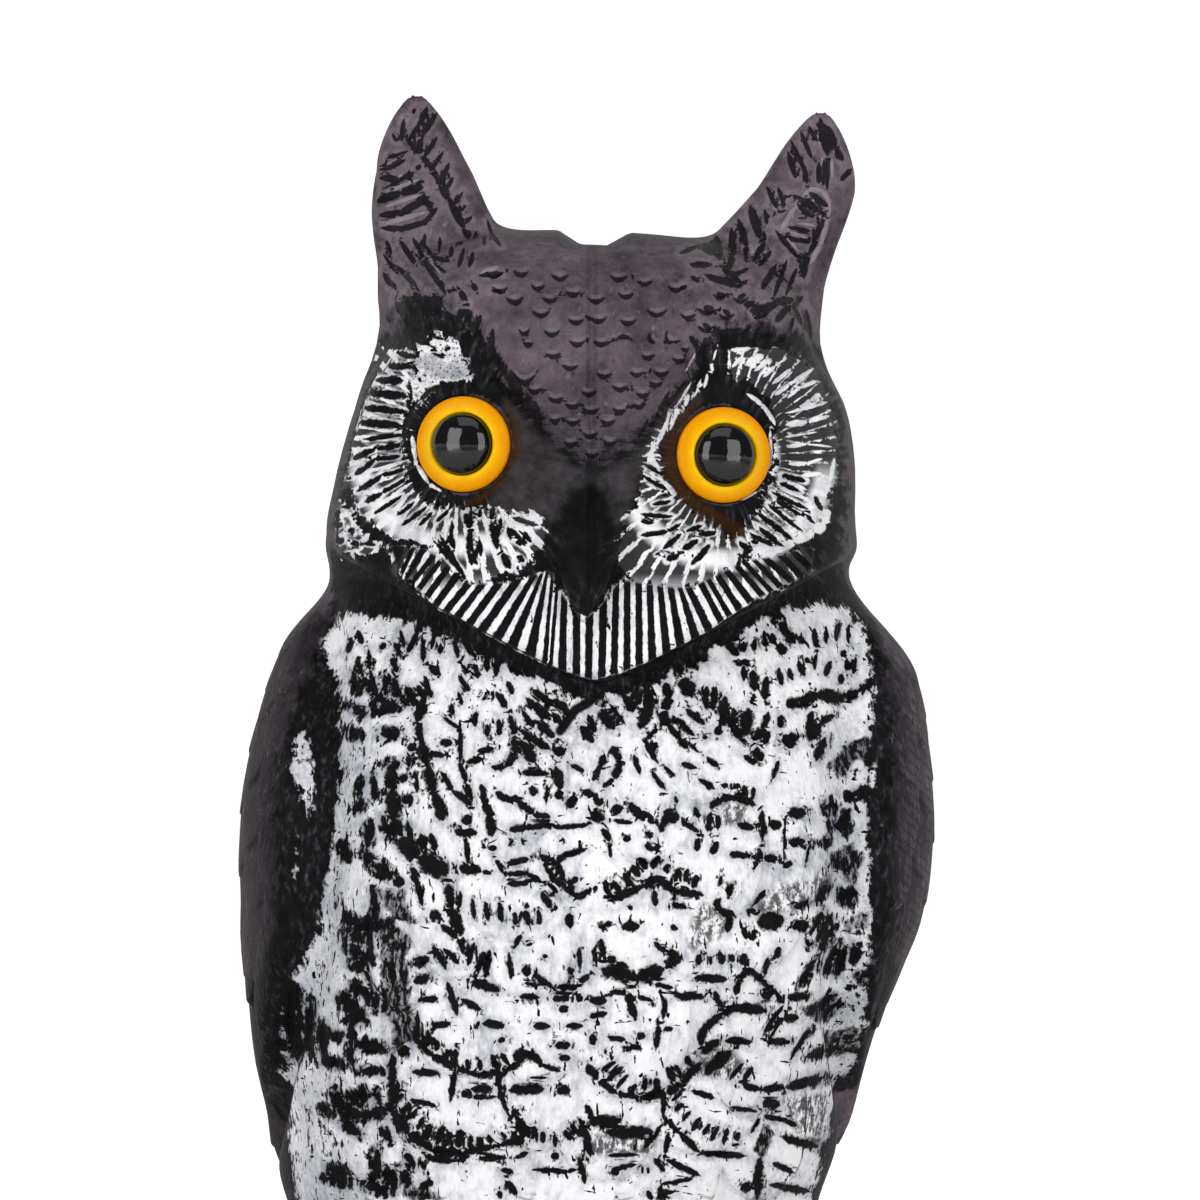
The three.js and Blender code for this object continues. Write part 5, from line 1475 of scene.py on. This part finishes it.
    # Painted shade along the edges, where the surface turns away.
    outline = facing.step(0.42, 0.12) * facing.step(-0.5, 0.0) * 0.55
    wood = blend((soot_and_shade * 0.8).most(outline), wood, SOOT_AND_SHADE)
    scratch = noise(joined(px * 0.16 + py * 0.05, py * 0.06, depth * 0.16), 1.0, 3, 0.7)
    wood = blend(scratch.step(0.35, 1.3) * 0.5, wood, SCRATCHED)
    wood = blend(pale * (0.55 + fine * 0.2), wood, DRY_BRUSH)

    topping = (top * 0.06 + mottle * 0.35 + hair * (0.4 + face * 0.5)).step(-0.5, 0.6)
    colour = blend(cut * topping, colour, NICK_BLACK)
    colour = blend(topping * (1 - dark * 0.9) * (1 - cut * 0.9), colour, wood)
    stain = (brown * 0.12 + 0.3 + rays * 0.3).step(-0.4, 0.9) * 0.75
    colour = blend(stain, colour, STAIN)
    height = pale * 0.4 + hair * 0.2 + noise(place, 900, 2, 0.6) * 0.06 - cut * 0.3 - dark * 0.6
    finish_material(shader, colour, height, 0.0006, rough=0.6 - cover * 0.1 + fine * 0.04, specular=0.06)
    return material


body.data.materials.clear()
body.data.materials.append(plumage_material())
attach(body, "root")
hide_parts("owl_body")


# The eyes, in metres
SECTORS = 96
IRIS_RADIUS, PUPIL_RADIUS = IRIS_RADIUS_MM / 1000, 0.008
IRIS_FRONT = 0.0022
IRIS_BACK = IRIS_FRONT - 0.0064
IRIS_BEVEL = 0.0008
IRIS_ROUNDING = 0.0015
CUP_RADIUS = PUPIL_RADIUS + 0.0003
CUP_FLOOR = IRIS_BACK + 0.0016
PUPIL_BACK = CUP_FLOOR + 0.0003
PUPIL_RISE = 0.0044


def lathe(name, outline, side):
    """A round piece about an eye's axis from (radius, level) points, from its back to its front."""
    axis, centre = eye_axis(side), eye_centre(side) * UNIT
    up = np.array([0.0, 0.0, 1.0])
    aside = np.cross(axis, up)
    rings, verts, faces = [], [], []
    for r, level in outline:
        start = len(verts)
        if r == 0:
            verts.append(centre + axis * level)
            rings.append([start] * SECTORS)
        else:
            for t in np.linspace(0, 2 * np.pi, SECTORS, endpoint=False):
                verts.append(centre + axis * level + (aside * math.cos(t) + up * math.sin(t)) * r)
            rings.append(list(range(start, start + SECTORS)))
    for low, high in zip(rings, rings[1:]):
        for k in range(SECTORS):
            n = (k + 1) % SECTORS
            face = list(dict.fromkeys([low[k], low[n], high[n], high[k]]))
            if len(face) > 2:
                faces.append(face)
    mesh = bpy.data.meshes.new(name)
    mesh.from_pydata([tuple(v) for v in verts], [], faces)
    mesh.validate()
    mesh.shade_smooth()
    return placed(name, mesh)


def quarter_turn(steps):
    return np.linspace(0, math.pi / 2, steps)


def iris_outline():
    r, low = IRIS_RADIUS, IRIS_FRONT - IRIS_ROUNDING
    front = [
        (r + (CUP_RADIUS - r) * (1 - math.cos(t)), low + (IRIS_FRONT - low) * math.sin(t))
        for t in quarter_turn(12)
    ]
    return [
        (0, IRIS_BACK), (r - IRIS_BEVEL, IRIS_BACK), (r, IRIS_BACK + IRIS_BEVEL),
        *front, (CUP_RADIUS, CUP_FLOOR), (0, CUP_FLOOR),
    ]


def pupil_outline():
    dome = [(PUPIL_RADIUS * math.cos(t), IRIS_FRONT + PUPIL_RISE * math.sin(t)) for t in quarter_turn(20)]
    return [(0, PUPIL_BACK), (PUPIL_RADIUS, PUPIL_BACK), *dome[:-1], (0, dome[-1][1])]


def iris_material():
    material, tree, shader = new_material("iris")
    radius = attribute(tree, "paint_radius").parts()[0]
    place = object_place(tree)
    radius = radius + noise(place, 260) * 0.04
    inner = blend(radius.step(0.64, 0.8), IRIS_INNER, IRIS_MIDDLE)
    colour = blend(radius.step(0.68, 0.97), inner, IRIS_RIM)
    finish_material(shader, colour, noise(place, 500), 0.00006, rough=0.32, specular=0.08)
    return material


def pupil_material():
    material, tree, shader = new_material("pupil")
    place = object_place(tree)
    colour = blend(noise(place, 300) * 0.25 + 0.5, PUPIL_DEEP, PUPIL_SOFT)
    finish_material(shader, colour, noise(place, 400), 0.00002, rough=0.07, specular=0.55)
    return material


iris_paint, pupil_paint = iris_material(), pupil_material()
for side, word in ((-1, "right"), (1, "left")):
    iris = lathe(f"iris_{word}_glossy", iris_outline(), side)
    spots = np.array([v.co for v in iris.data.vertices]) / UNIT
    _, r = eye_place(side, *spots.T)
    share = r / (IRIS_RADIUS / UNIT)
    keep(iris.data, "paint_radius", np.stack([share, share, share], 1))
    iris.data.materials.append(iris_paint)
    pupil = lathe(f"pupil_{word}_glossy", pupil_outline(), side)
    pupil.data.materials.append(pupil_paint)
    for piece, slot, node in ((iris, "iris", f"iris_{word}"), (pupil, "pupil", f"pupil_{word}")):
        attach(piece, "root")
        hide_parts(node)


# The floor, the light and the camera, in metres
FLOOR_HALF = 12.0
SWEEP_START, SWEEP_RADIUS, WALL_TOP = 1.6, 1.4, 5.0
BOX_AIM, TOP_AIM = (0, 0, 0.31), (0, 0, 0.3)
BOX_SIZE, TOP_SIZE = (0.7, 1.1), (1.2, 1.0)
DIM_WORLD = 0.12


def backdrop():
    """A pale floor that sweeps up behind the owl."""
    profile = [(-FLOOR_HALF, 0.0), (SWEEP_START, 0.0)]
    for t in quarter_turn(16)[1:]:
        ahead, above = SWEEP_RADIUS * math.sin(t), SWEEP_RADIUS - SWEEP_RADIUS * math.cos(t)
        profile.append((SWEEP_START + ahead, above))
    profile.append((SWEEP_START + SWEEP_RADIUS, WALL_TOP))
    verts = [(x, y, z) for y, z in profile for x in (-FLOOR_HALF, FLOOR_HALF)]
    faces = [(2 * n, 2 * n + 1, 2 * n + 3, 2 * n + 2) for n in range(len(profile) - 1)]
    mesh = bpy.data.meshes.new("floor")
    mesh.from_pydata(verts, [], faces)
    mesh.shade_smooth()
    floor = placed("floor", mesh)
    material, tree, shader = new_material("floor")
    shader.inputs["Base Color"].default_value = (0.9, 0.9, 0.9, 1)
    shader.inputs["Roughness"].default_value = 0.9
    shader.inputs["Emission Color"].default_value = (1, 1, 1, 1)
    x, y, _ = object_place(tree).parts()
    glow = y.step(0.0, 0.8) * 0.62 + 0.04
    glow = glow.most((x * x + y * y).step(1.0, 16.0) * 0.7)
    glow.plug(shader.inputs["Emission Strength"])
    mesh.materials.append(material)


def area_light(name, place, aim, size, power):
    light = bpy.data.lights.new(name, "AREA")
    light.shape = "RECTANGLE"
    light.size, light.size_y = size
    light.energy = power
    lamp = placed(name, light)
    lamp.location = place
    lamp.rotation_euler = (Vector(aim) - Vector(place)).to_track_quat("-Z", "Y").to_euler()


def soft_world():
    """White to the camera and dim to everything else."""
    world = bpy.data.worlds.new("studio")
    world.use_nodes = True
    tree = world.node_tree
    background = tree.nodes["Background"]
    background.inputs["Color"].default_value = (1, 1, 1, 1)
    seen = tree.nodes.new("ShaderNodeLightPath")
    strength = Flow(tree, seen.outputs["Is Camera Ray"]) * (1 - DIM_WORLD) + DIM_WORLD
    strength.plug(background.inputs["Strength"])
    bpy.context.scene.world = world


def photo_camera():
    data = bpy.data.cameras.new("camera")
    data.lens = LENS
    data.sensor_width = SENSOR
    camera = placed("camera", data)
    camera.location = (VIEW_AIM[0], -VIEW_DISTANCE, VIEW_AIM[1])
    camera.rotation_euler = (math.pi / 2, 0, 0)
    camera.rotation_euler.rotate_axis("Z", ROLL)
    bpy.context.scene.camera = camera


backdrop()
soft_world()
area_light("left_box", (-0.82, -1.06, 0.56), BOX_AIM, BOX_SIZE, 8.5)
area_light("right_box", (0.82, -1.06, 0.56), BOX_AIM, BOX_SIZE, 7.5)
area_light("top_box", (0, -0.5, 1.5), TOP_AIM, TOP_SIZE, 4)
photo_camera()

# Two bounces of light are enough for a pale studio.
bpy.context.scene.cycles.max_bounces = 3
bpy.context.scene.cycles.diffuse_bounces = 2
bpy.context.scene.view_settings.view_transform = "Standard"
